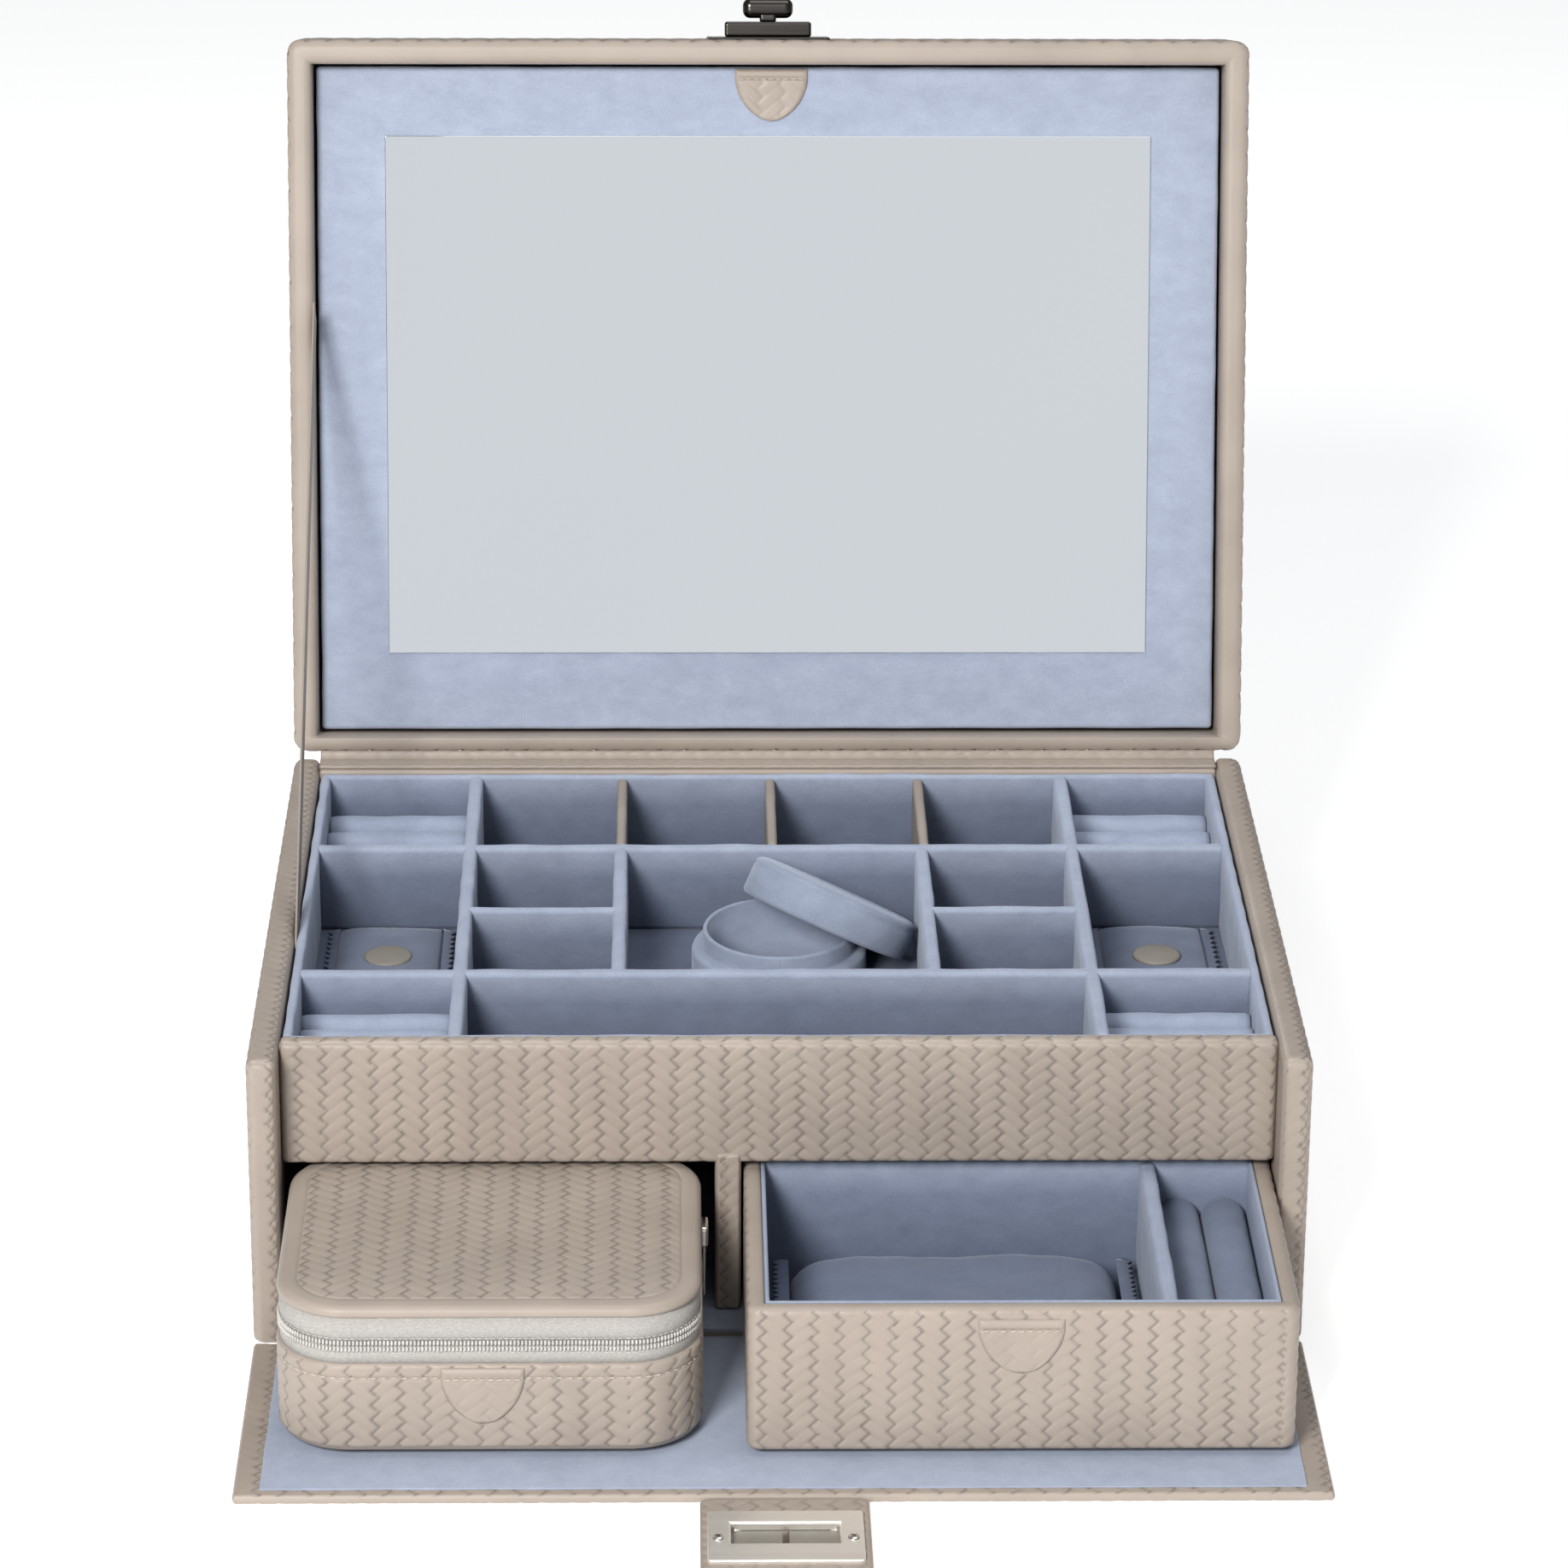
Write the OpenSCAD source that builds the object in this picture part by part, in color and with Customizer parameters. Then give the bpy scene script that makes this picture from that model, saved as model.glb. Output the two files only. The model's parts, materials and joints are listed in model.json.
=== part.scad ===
// Table-top jewelry case with a leaning lid, a mirror panel over a necklace well, a fixed velvet
// tray, a drop front, a drawer, a zipped travel case and loose pouches and boxes.
// Origin: centre of the case's underside. +X to the right, +Y to the back, +Z up.

/* [Case] */
// Width of the case
case_w = 330; // [300:1:360]
// Depth of the case, front to back
case_d = 252; // [240:1:280]
// Height of the case without its lid
case_h = 98; // [96:1:110]
// Thickness of the side walls
side_wall_t = 9; // [8:0.5:9]
// Thickness of the rear wall
rear_wall_t = 12; // [10:0.5:13]
// Thickness of the bottom board
bottom_t = 4; // [3:0.5:4]
// Corner radius of the leather-covered boards
board_r = 4; // [2:0.5:5]
// Thickness of the velvet on flat faces
velvet_t = 1; // [0.6:0.1:1]

/* [Tray] */
// Depth of the tray's cells below the case's top edge
tray_depth = 31; // [28:1:32]
// Thickness of the tray's floor board
tray_floor_t = 7; // [5:1:8]
// Distance that the tray's front panel stands behind the side walls' front edges
front_recess = 14.5; // [12:0.5:18]
// Thickness of the tray's front panel
front_panel_t = 5.5; // [4:0.5:6]
// Height of the tray's front panel
front_panel_h = 42; // [40:1:44]
// Thickness of the velvet walls round the tray
lining_t = 3; // [2:0.5:3]
// Thickness of the velvet-covered dividers
divider_t = 4.6; // [3:0.2:5]
// Distance of each long divider's middle from the case's middle
long_divider_x = 101.4; // [99:0.2:104]
// Distance of the rear cross dividers' middle behind the case's middle
rear_cross_y = 49.2; // [47:0.2:52]
// Distance of the front cross dividers' middle in front of the case's middle
front_cross_y = 54.2; // [52:0.2:57]
// Thickness of the loose leather-covered dividers
loose_divider_t = 3.4; // [3:0.2:4]
// Distance that the ring rolls' tops lie below the case's top edge
roll_drop = 13; // [11:0.5:15]
// Number of ring rolls in each ring cell
rolls_per_cell = 4; // [3:1:4]

/* [Lid] */
// Size of the lid from its rear edge to its front edge
lid_len = 245.6; // [240:0.2:250]
// Thickness of the closed lid
lid_t = 50; // [46:1:54]
// Width of the lid's rim at the sides and the front
lid_rim = 8; // [7:0.5:9]
// Width of the lid's rim along the hinge
lid_rear_rim = 5; // [4:0.5:6]
// Angle that the open lid leans back from upright
lid_lean = 14; // [5:1:20]
// Distance that the mirror panel lies behind the lid's rim
panel_recess = 11; // [10.5:0.5:13]
// Thickness of the mirror panel's board
panel_t = 4; // [3:0.5:5]
// Width of the mirror
mirror_w = 265; // [240:1:280]
// Height of the mirror
mirror_h = 180; // [160:1:190]
// Thickness of the mirror's glass
mirror_t = 1.9; // [1.5:0.1:3]
// Number of necklace hooks
hook_count = 9; // [5:1:12]

/* [Drop front] */
// Thickness of the drop front's board
flap_t = 2.6; // [2:0.2:3]
// Distance from the case's front face to the drop front's free edge
flap_reach = 102.5; // [99:0.5:104]
// Width of the leather tongue
tongue_w = 50.6; // [46:0.2:54]
// Length of the leather tongue
tongue_len = 43.5; // [42:0.5:46]

/* [Drawer and travel case] */
// Width of the drawer
drawer_w = 165.4; // [164:0.2:166]
// Depth of the drawer, front to back
drawer_d = 108; // [100:1:110]
// Height of the drawer
drawer_h = 48.2; // [46:0.2:49]
// Thickness of the drawer's walls
drawer_wall_t = 5; // [4:0.5:6]
// Width of the travel case
travel_w = 128.6; // [127:0.2:129]
// Height of the travel case
travel_h = 49.4; // [48:0.2:49.6]
// Corner radius of the travel case
travel_r = 22; // [16:1:24]
// Distance that the drawer and the travel case stand out in front of the case
pulled_out = 80; // [78:1:82]

/* [Round box] */
// Radius of the round box
round_r = 29; // [27:0.5:29]
// Height of the round box with its inner ring
round_h = 17.5; // [17.3:0.1:17.5]
// Height of the round box's lid
round_lid_h = 13; // [11:0.5:13]
// Angle that the round box's lid leans
round_lid_lean = 30.8; // [30.6:0.1:30.8]

/* [Hidden] */
$fn = 48;

leather = [0.72, 0.66, 0.60];
taupe = [0.66, 0.60, 0.50];
velvet = [0.58, 0.64, 0.74];
nickel = [0.80, 0.80, 0.82];
glass = [0.82, 0.86, 0.90];
tape = [0.86, 0.86, 0.86];

// Gap between pieces that slide past each other
slip = 0.3;
// Overlap that keeps a cut from leaving a skin
eps = 0.5;

half_w = case_w / 2;
half_d = case_d / 2;
in_x = half_w - side_wall_t;
rear_in_y = half_d - rear_wall_t;
panel_y = -half_d + front_recess;
tray_front_y = panel_y + front_panel_t;
floor_z = bottom_t + velvet_t;
tray_z = case_h - tray_depth;
tray_top = case_h - 1;
bay_top = case_h - front_panel_h;
// Room beside the tray's side linings, where the lid stay's end is tucked in
stay_gap = 0.9;
cell_x = in_x - stay_gap - lining_t;
cell_rear_y = rear_in_y - lining_t;
cell_front_y = tray_front_y + lining_t;
small_wall_x = long_divider_x / 2;
bay_divider_x = -15.9;
bay_divider_t = 8.2;
bay_back_t = 4;

// Lid hinge: its axis runs along X at the top of the rear wall
hinge_y = half_d - 1.5;
hinge_z = case_h + 2;
rim_y = -1.6;
lid_z0 = 1.4;
lid_z1 = lid_z0 + lid_len;
panel_y0 = rim_y + panel_recess;
panel_z0 = lid_z0 + lid_rear_rim + 1.2;
panel_z1 = lid_z1 - lid_rim - 1;
lid_board_t = 5;
well_y = rim_y + lid_t - lid_board_t;
mirror_z = 124.4;
mirror_sink = 1.2;
lock_y = 24.5;

// Drop front: its hinge axis runs along X just in front of the case
flap_hinge_y = -half_d - 2.8;
flap_z = 0.3;
flap_edge_y = -half_d - flap_reach;
flap_root_y = flap_hinge_y - 1.2;
flap_velvet_t = 0.7;
plate_t = 1;
tongue_t = 1.4;
tongue_root_y = flap_edge_y - 0.8;
hasp_y = -half_d - 125.8;
hasp_w = 46.4;
hasp_d = 29.8;
slot_w = 32.4;
slot_d = 11.8;

// Drawer and travel case
unit_z = floor_z + 0.4;
unit_front_y = -half_d - pulled_out;
drawer_x = in_x - 1.2 - drawer_w / 2;
drawer_lining_t = 1.4;
drawer_floor_t = 3;
drawer_top = unit_z + drawer_h;
travel_x = -88.8;
travel_d = drawer_d;
travel_wall_t = 4;
travel_y = unit_front_y + travel_d / 2;
travel_seam_z = unit_z + 36;
travel_base_h = 30.2;
travel_lid_t = 4.3;
zip_t = 1.4;
zip_inset = 0.6;

// Round box and its leaning lid
round_x = 2;
round_y = 8.1;
round_wall_t = 5.2;
round_lip_t = 1.5;
round_lip_h = 6.5;
// Middle of the leaning lid's open end, and the way that it leans, counted from +X towards +Y
round_lid_at = [16.4, 15.2, 82.4];
round_lid_way = 37.7;

// ---------------------------------------------------------------- shared shapes

// A flat outline, w by d, with round corners, its middle at the origin
module round_rect(w, d, r) {
    square([w - 2 * r, d], center = true);
    square([w, d - 2 * r], center = true);
    for (x = [-1, 1], y = [-1, 1])
        translate([x * (w / 2 - r), y * (d / 2 - r)]) circle(r);
}

// A box between two corners
module block(low, high) {
    translate(low) cube(high - low);
}

// An upright block with round corners, its middle at x, y, from z0 to z1
module round_block(x, y, w, d, r, z0, z1) {
    translate([x, y, z0]) linear_extrude(z1 - z0) round_rect(w, d, r);
}

// An upright ring with round corners: outer size w by d, wall t
module round_ring(x, y, w, d, r, t, z0, z1) {
    difference() {
        round_block(x, y, w, d, r, z0, z1);
        round_block(x, y, w - 2 * t, d - 2 * t, r - t, z0 - eps, z1 + eps);
    }
}

// A board that stands along Y and Z with its four corners rounded, from x0 to x1
module standing_board(x0, x1, y0, y1, z0, z1, r) {
    translate([x0, (y0 + y1) / 2, (z0 + z1) / 2])
        rotate([90, 0, 90])
            linear_extrude(x1 - x0) round_rect(y1 - y0, z1 - z0, r);
}

// A half-round pull tab that hangs down, its straight top edge at z, its back at y
module pull_tab(x, y, z, w, h, t) {
    translate([x, y, z])
        rotate([90, 0, 0])
            linear_extrude(t) {
                translate([-w / 2, -h + w / 2]) square([w, h - w / 2]);
                intersection() {
                    translate([0, -h + w / 2]) circle(w / 2);
                    translate([-w / 2, -h]) square([w, w / 2]);
                }
            }
}

// A row of ring rolls that run along X between x0 and x1, and fill the cell from y0 to y1
module ring_rolls(x0, x1, y0, y1) {
    pitch = (y1 - y0) / rolls_per_cell;
    r = pitch / 2 - 0.15;
    top = case_h - roll_drop;
    for (i = [0 : rolls_per_cell - 1]) {
        y = y0 + pitch * (i + 0.5);
        block([x0 + slip, y - r, tray_z], [x1 - slip, y + r, top - r]);
        translate([x0 + slip, y, top - r])
            rotate([0, 90, 0]) cylinder(r = r, h = x1 - x0 - 2 * slip);
    }
}

// Puts its children, drawn for an upright lid with the hinge axis at the origin, in the open lid
module in_lid() {
    translate([0, hinge_y, hinge_z]) rotate([-lid_lean, 0, 0]) children();
}

// ---------------------------------------------------------------- case

module bottom_panel() {
    color(leather) block([-in_x, -half_d + 0.6, 0], [in_x, rear_in_y, bottom_t]);
}

module left_side_wall() {
    color(leather) standing_board(-half_w, -in_x, -half_d, half_d, 0, case_h, board_r);
}

module right_side_wall() {
    color(leather) standing_board(in_x, half_w, -half_d, half_d, 0, case_h, board_r);
}

module rear_wall() {
    color(leather) block([-in_x, rear_in_y, 0], [in_x, half_d, case_h]);
}

module bay_floor_lining() {
    color(velvet) block([-in_x, -half_d + 0.8, bottom_t], [in_x, 0, floor_z]);
}

module bay_divider() {
    x0 = bay_divider_x - bay_divider_t / 2;
    x1 = bay_divider_x + bay_divider_t / 2;
    color(leather) {
        block([x0, panel_y - 0.8, floor_z], [x1, 0, bay_top]);
        block([x0, tray_front_y, bay_top - eps], [x1, 0, tray_z - tray_floor_t]);
    }
}

module bay_back_board() {
    color(velvet) block([-in_x, 0, bottom_t], [in_x, bay_back_t, tray_z - tray_floor_t]);
}

module tray_floor() {
    color(velvet) block([-in_x, tray_front_y, tray_z - tray_floor_t], [in_x, rear_in_y, tray_z]);
}

module tray_front_panel() {
    r = 2.5;
    color(leather) difference() {
        block([-in_x, panel_y, bay_top], [in_x, tray_front_y, case_h]);
        difference() {
            block([-case_w, panel_y - eps, case_h - r], [case_w, panel_y + r, case_h + eps]);
            translate([-case_w, panel_y + r, case_h - r])
                rotate([0, 90, 0]) cylinder(r = r, h = 2 * case_w);
        }
    }
}

// Four separate velvet-covered strips, butted with a hair of room at the corners
module tray_lining_walls() {
    x = in_x - stay_gap;
    color(velvet) {
        block([-x, tray_front_y, tray_z], [x, cell_front_y, tray_top]);
        block([-x, cell_rear_y, tray_z], [x, rear_in_y, tray_top]);
        for (s = [-1, 1])
            block([min(s * x, s * cell_x), cell_front_y + 0.05, tray_z],
                  [max(s * x, s * cell_x), cell_rear_y - 0.05, tray_top]);
    }
}

module tray_long_dividers() {
    color(velvet) for (s = [-1, 1])
        block([s * long_divider_x - divider_t / 2, cell_front_y, tray_z],
              [s * long_divider_x + divider_t / 2, cell_rear_y, tray_top]);
}

// The two rows of cross dividers, three pieces each
module tray_cross_dividers() {
    near = long_divider_x - divider_t / 2 - 0.05;
    far = long_divider_x + divider_t / 2 + 0.05;
    spans = [[-cell_x, -far], [-near, near], [far, cell_x]];
    color(velvet) for (y = [rear_cross_y, -front_cross_y], span = spans)
        block([span[0], y - divider_t / 2, tray_z], [span[1], y + divider_t / 2, tray_top]);
}

// Two walls beside the centre cell, and a short cross piece in each column of small cells
module small_cell_dividers() {
    cross_y = -2.8;
    cross_t = 3.4;
    y0 = -front_cross_y + divider_t / 2 + 0.05;
    y1 = rear_cross_y - divider_t / 2 - 0.05;
    near = small_wall_x + divider_t / 2 + 0.05;
    far = long_divider_x - divider_t / 2 - 0.05;
    color(velvet) for (s = [-1, 1]) {
        block([s * small_wall_x - divider_t / 2, y0, tray_z],
              [s * small_wall_x + divider_t / 2, y1, tray_top]);
        block([min(s * near, s * far), cross_y - cross_t / 2, tray_z],
              [max(s * near, s * far), cross_y + cross_t / 2, tray_top]);
    }
}

outer_cell_x = long_divider_x + divider_t / 2;
rear_row_y = rear_cross_y + divider_t / 2;
front_row_y = -front_cross_y - divider_t / 2;
module ring_rolls_rear_left() {
    color(velvet) ring_rolls(-cell_x, -outer_cell_x, rear_row_y, cell_rear_y);
}

module ring_rolls_rear_right() {
    color(velvet) ring_rolls(outer_cell_x, cell_x, rear_row_y, cell_rear_y);
}

module ring_rolls_front_left() {
    color(velvet) ring_rolls(-cell_x, -outer_cell_x, cell_front_y, front_row_y);
}

module ring_rolls_front_right() {
    color(velvet) ring_rolls(outer_cell_x, cell_x, cell_front_y, front_row_y);
}

// Leather strip that joins the lid's rear edge to the rear wall's top edge
module lid_spine() {
    strip_t = 1;
    color(leather) translate([-in_x, 0, 0])
        rotate([90, 0, 90])
            linear_extrude(2 * in_x)
                polygon([
                    [rear_in_y + 4, case_h], [half_d - 1, case_h], [hinge_y + 0.8, hinge_z + 1.2],
                    [hinge_y, hinge_z + 1.4], [half_d - 4, case_h + strip_t],
                    [rear_in_y + 4, case_h + strip_t]
                ]);
}

// Flat strap from inside the lid's left wall to the inside of the case's left wall
stay_top = [-in_x - 0.95, 161, 250];
stay_bottom = [-in_x + 0.12, -27, 90];
module lid_stay() {
    stay_w = 12;
    stay_t = 0.7;
    run = stay_top - stay_bottom;
    len_yz = norm([run[1], run[2]]);
    lift = atan2(run[2], run[1]);
    skew = atan2(run[0], len_yz);
    color(taupe) translate(stay_bottom)
        rotate([lift, 0, 0])
            rotate([0, 0, -skew])
                block([0, 0, -stay_w / 2], [stay_t, norm(run), stay_w / 2]);
}

// Velvet strip that joins the bay's floor to the drop front
module flap_spine() {
    color(velvet)
        block([-in_x, flap_root_y + 0.1, flap_z + 1.6], [in_x, -half_d + 0.5, flap_z + 2.2]);
}

// ---------------------------------------------------------------- loose dividers

module loose_divider(x) {
    color(taupe) block([x - loose_divider_t / 2, rear_row_y + slip, tray_z + 0.2],
                       [x + loose_divider_t / 2, cell_rear_y - slip, tray_top - 0.5]);
}

module loose_divider_left() {
    loose_divider(-small_wall_x);
}

module loose_divider_middle() {
    loose_divider(0.4);
}

module loose_divider_right() {
    loose_divider(small_wall_x + 1);
}

// ---------------------------------------------------------------- lid

// A board of the lid's full width with its two outer corners rounded, from z0 to z1, upright
module lid_edge(z0, z1, y0, y1) {
    r = 4.5;
    translate([0, y1, 0])
        rotate([90, 0, 0])
            linear_extrude(y1 - y0) intersection() {
                translate([0, (lid_z0 + lid_z1) / 2]) round_rect(case_w, lid_len, r);
                translate([-case_w, z0]) square([2 * case_w, z1 - z0]);
            }
}

module lid_top_board() {
    color(leather) in_lid() lid_edge(lid_z0, lid_z1, well_y, well_y + lid_board_t);
}

module lid_front_wall() {
    color(leather) in_lid() lid_edge(lid_z1 - lid_rim, lid_z1, rim_y, well_y);
}

module lid_rear_wall() {
    color(leather) in_lid() lid_edge(lid_z0, lid_z0 + lid_rear_rim, rim_y, well_y);
}

module lid_side_walls() {
    color(leather) in_lid() for (s = [-1, 1])
        block([min(s * half_w, s * (half_w - lid_rim)), rim_y, lid_z0 + lid_rear_rim],
              [max(s * half_w, s * (half_w - lid_rim)), well_y, lid_z1 - lid_rim]);
}

module lid_well_lining() {
    x = half_w - lid_rim;
    color(velvet) in_lid()
        block([-x, well_y - velvet_t, lid_z0 + lid_rear_rim], [x, well_y, lid_z1 - lid_rim]);
}

bar_z = 226;
bar_front_y = well_y - velvet_t - 8;
module necklace_bar() {
    color(leather) in_lid() block([-140, bar_front_y, bar_z - 6], [140, well_y - velvet_t, bar_z + 6]);
}

module necklace_hooks() {
    hook_len = 9;
    pitch = 260 / (hook_count - 1);
    color(nickel) in_lid() for (i = [0 : hook_count - 1])
        translate([-130 + i * pitch, bar_front_y, bar_z]) {
            rotate([90, 0, 0]) cylinder(r = 1, h = hook_len);
            translate([0, -hook_len, 0]) sphere(r = 1.9);
        }
}

// Open-topped velvet pocket at the bottom of the well
module chain_pocket() {
    wall = 1.4;
    y1 = well_y - velvet_t;
    y0 = y1 - 16;
    z0 = lid_z0 + lid_rear_rim + 2;
    color(velvet) in_lid() difference() {
        block([-142, y0, z0], [142, y1, z0 + 52]);
        block([-142 + wall, y0 + wall, z0 + wall], [142 - wall, y1 - wall, z0 + 53]);
    }
}

module lock_plate() {
    plate = 1.2;
    color(nickel) in_lid() difference() {
        round_block(0, lock_y, 42.6, 24, 3, lid_z1, lid_z1 + plate);
        translate([0, lock_y, lid_z1 - eps]) cylinder(r = 3, h = 3);
    }
}

block_h = 5.2;
spindle_r = 2;
module lock_block() {
    color(nickel) in_lid() difference() {
        round_block(0, lock_y, 30, 10, 1.5, lid_z1 + 1.2, lid_z1 + 1.2 + block_h);
        translate([0, lock_y, lid_z1]) cylinder(r = spindle_r + 0.05, h = 10);
    }
}

module lock_knob() {
    z0 = lid_z1 + 1.2 + block_h;
    color(nickel) in_lid() {
        translate([0, lock_y, lid_z1 + 1.6]) cylinder(r = spindle_r, h = block_h + 2);
        translate([0, lock_y, z0 + 0.2]) cylinder(r = 2.9, h = 1.4);
        round_block(0, lock_y, 17.4, 6.4, 3, z0 + 1.2, z0 + 8);
    }
}

module mirror_panel() {
    x = half_w - lid_rim - 1;
    color(velvet) in_lid() difference() {
        block([-x, panel_y0, panel_z0], [x, panel_y0 + panel_t, panel_z1]);
        block([-mirror_w / 2 - 0.1, panel_y0 - eps, mirror_z - mirror_h / 2 - 0.1],
              [mirror_w / 2 + 0.1, panel_y0 + mirror_sink, mirror_z + mirror_h / 2 + 0.1]);
    }
}

module mirror_glass() {
    back_y = panel_y0 + mirror_sink;
    color(glass) in_lid() block([-mirror_w / 2, back_y - mirror_t, mirror_z - mirror_h / 2],
                                [mirror_w / 2, back_y, mirror_z + mirror_h / 2]);
}

module mirror_tab() {
    color(taupe) in_lid() pull_tab(1, panel_y0, panel_z1 - 0.6, 25, 18, 1.5);
}

// ---------------------------------------------------------------- drop front

module flap_board() {
    color(leather) round_block(0, (flap_root_y + flap_edge_y) / 2, case_w, flap_root_y - flap_edge_y,
                               board_r, flap_z, flap_z + flap_t);
}

module flap_lining() {
    color(velvet) block([-half_w + 8, flap_edge_y + 3.6, flap_z + flap_t],
                        [half_w - 8, flap_root_y, flap_z + flap_t + flap_velvet_t]);
}

module hasp_slot(extra) {
    round_block(0, hasp_y, slot_w + 2 * extra, slot_d + 2 * extra, 3, -eps, 10);
}

module screw_holes() {
    for (s = [-1, 1]) translate([s * 20, hasp_y - 1.4, -eps]) cylinder(r = 1.02, h = 10);
}

module tongue() {
    y0 = tongue_root_y - tongue_len;
    color(leather) difference() {
        round_block(0, (y0 + tongue_root_y) / 2, tongue_w, tongue_len, 3.5, plate_t, plate_t + tongue_t);
        hasp_slot(0.4);
        screw_holes();
    }
}

module hasp_frame() {
    z0 = plate_t + tongue_t;
    color(nickel) difference() {
        round_block(0, hasp_y - 1.8, hasp_w, hasp_d, 3, z0, z0 + 1.2);
        hasp_slot(0);
        screw_holes();
    }
}

module hasp_cover() {
    color(nickel) difference() {
        round_block(0, hasp_y - 1.8, hasp_w, hasp_d, 3, 0, plate_t);
        hasp_slot(0);
        screw_holes();
    }
}

module hasp_screws() {
    z1 = plate_t + tongue_t + 1.2;
    color(nickel) for (s = [-1, 1]) translate([s * 20, hasp_y - 1.4, 0.2]) {
        cylinder(r = 1, h = z1);
        translate([0, 0, z1 - 0.2]) cylinder(r = 1.9, h = 0.5);
    }
}

// ---------------------------------------------------------------- drawer

drawer_y = unit_front_y + drawer_d / 2;
drawer_in_w = drawer_w - 2 * drawer_wall_t;
drawer_in_d = drawer_d - 2 * drawer_wall_t;
module drawer_body() {
    color(leather) difference() {
        round_block(drawer_x, drawer_y, drawer_w, drawer_d, board_r, unit_z, drawer_top);
        block([drawer_x - drawer_in_w / 2, drawer_y - drawer_in_d / 2, unit_z + drawer_floor_t],
              [drawer_x + drawer_in_w / 2, drawer_y + drawer_in_d / 2, drawer_top + eps]);
    }
}

cavity_w = drawer_in_w - 2 * drawer_lining_t;
cavity_d = drawer_in_d - 2 * drawer_lining_t;
cavity_x0 = drawer_x - cavity_w / 2;
cavity_x1 = drawer_x + cavity_w / 2;
cavity_y0 = drawer_y - cavity_d / 2;
cavity_y1 = drawer_y + cavity_d / 2;
cavity_z = unit_z + drawer_floor_t + drawer_lining_t;
drawer_lining_top = drawer_top - 0.6;
module drawer_lining() {
    color(velvet) difference() {
        block([drawer_x - drawer_in_w / 2, drawer_y - drawer_in_d / 2, unit_z + drawer_floor_t],
              [drawer_x + drawer_in_w / 2, drawer_y + drawer_in_d / 2, drawer_lining_top]);
        block([cavity_x0, cavity_y0, cavity_z], [cavity_x1, cavity_y1, drawer_top + eps]);
    }
}

partition_t = 5;
partition_x = cavity_x1 - 29.4 - partition_t;
module drawer_partition() {
    color(velvet) block([partition_x, cavity_y0, cavity_z],
                        [partition_x + partition_t, cavity_y1, drawer_lining_top]);
}

// Two rolls that run front to back beside the drawer's right wall
module drawer_ring_rolls() {
    count = 2;
    x0 = partition_x + partition_t;
    pitch = (cavity_x1 - x0) / count;
    r = pitch / 2 - 0.15;
    top = drawer_lining_top - roll_drop + 1;
    color(velvet) for (i = [0 : count - 1]) {
        x = x0 + pitch * (i + 0.5);
        block([x - r, cavity_y0 + slip, cavity_z], [x + r, cavity_y1 - slip, top - r]);
        translate([x, cavity_y1 - slip, top - r])
            rotate([90, 0, 0]) cylinder(r = r, h = cavity_d - 2 * slip);
    }
}

module drawer_tab() {
    color(taupe) pull_tab(drawer_x - 0.8, unit_front_y, drawer_top - 3.5, 26, 18, 1.6);
}

module drawer_pouch() {
    color(velvet) block([cavity_x0 + 1.5, cavity_y0 + 2, cavity_z + slip],
                        [partition_x - 1.5, panel_y - 1.6, cavity_z + 16]);
}

// ---------------------------------------------------------------- travel case

module travel_base() {
    color(leather) difference() {
        round_block(travel_x, travel_y, travel_w, travel_d, travel_r, unit_z, unit_z + travel_base_h);
        round_block(travel_x, travel_y, travel_w - 2 * travel_wall_t, travel_d - 2 * travel_wall_t,
                    travel_r - travel_wall_t, unit_z + 3, unit_z + 40);
    }
}

module travel_lower_zip() {
    color(tape) round_ring(travel_x, travel_y, travel_w - 2 * zip_inset, travel_d - 2 * zip_inset,
                           travel_r - zip_inset, zip_t, unit_z + travel_base_h, travel_seam_z - 0.15);
}

module travel_upper_zip() {
    z1 = unit_z + travel_h - travel_lid_t;
    color(tape) round_ring(travel_x, travel_y, travel_w - 2 * zip_inset, travel_d - 2 * zip_inset,
                           travel_r - zip_inset, zip_t, travel_seam_z + 0.15, z1);
}

module travel_lid() {
    color(leather) round_block(travel_x, travel_y, travel_w, travel_d, travel_r,
                               unit_z + travel_h - travel_lid_t, unit_z + travel_h);
}

module travel_tab() {
    color(taupe) pull_tab(travel_x - 1.6, unit_front_y, unit_z + 28.8, 25.2, 18.6, 1.6);
}

slider_x = travel_x + travel_w / 2;
module zip_slider() {
    y = -130;
    half_h = 3.4;
    pull_len = 17.6;
    color(nickel) {
        block([slider_x - zip_inset + 0.1, y - 4.5, travel_seam_z - half_h],
              [slider_x + 2.2, y + 4.5, travel_seam_z + half_h]);
        block([slider_x + 0.3, y - 2.4, travel_seam_z - half_h - pull_len],
              [slider_x + 1.5, y + 2.4, travel_seam_z - half_h + eps]);
    }
}

// ---------------------------------------------------------------- round box and pouches

module round_box() {
    z0 = tray_z + slip;
    lip_r = round_r - round_wall_t + round_lip_t;
    inner_r = round_r - round_wall_t;
    color(velvet) translate([round_x, round_y, z0]) difference() {
        union() {
            cylinder(r = round_r, h = round_h - round_lip_h);
            cylinder(r = lip_r, h = round_h);
        }
        translate([0, 0, 2.5]) cylinder(r = inner_r, h = round_h);
    }
}

module round_box_lid() {
    inner_r = round_r - round_wall_t + round_lip_t + 0.5;
    turn_axis = [-sin(round_lid_way), cos(round_lid_way), 0];
    color(velvet) translate(round_lid_at) rotate(a = round_lid_lean, v = turn_axis) difference() {
        cylinder(r = round_r, h = round_lid_h);
        translate([0, 0, -eps]) cylinder(r = inner_r, h = round_lip_h + 1.5 + eps);
    }
}

pouch_h = 7;
module pouch(x) {
    half = (cell_x - outer_cell_x) / 2 - 2;
    color(velvet) block([x - half, -front_cross_y + divider_t / 2 + 2, tray_z + slip],
                        [x + half, rear_cross_y - divider_t / 2 - 3, tray_z + pouch_h]);
}

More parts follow.
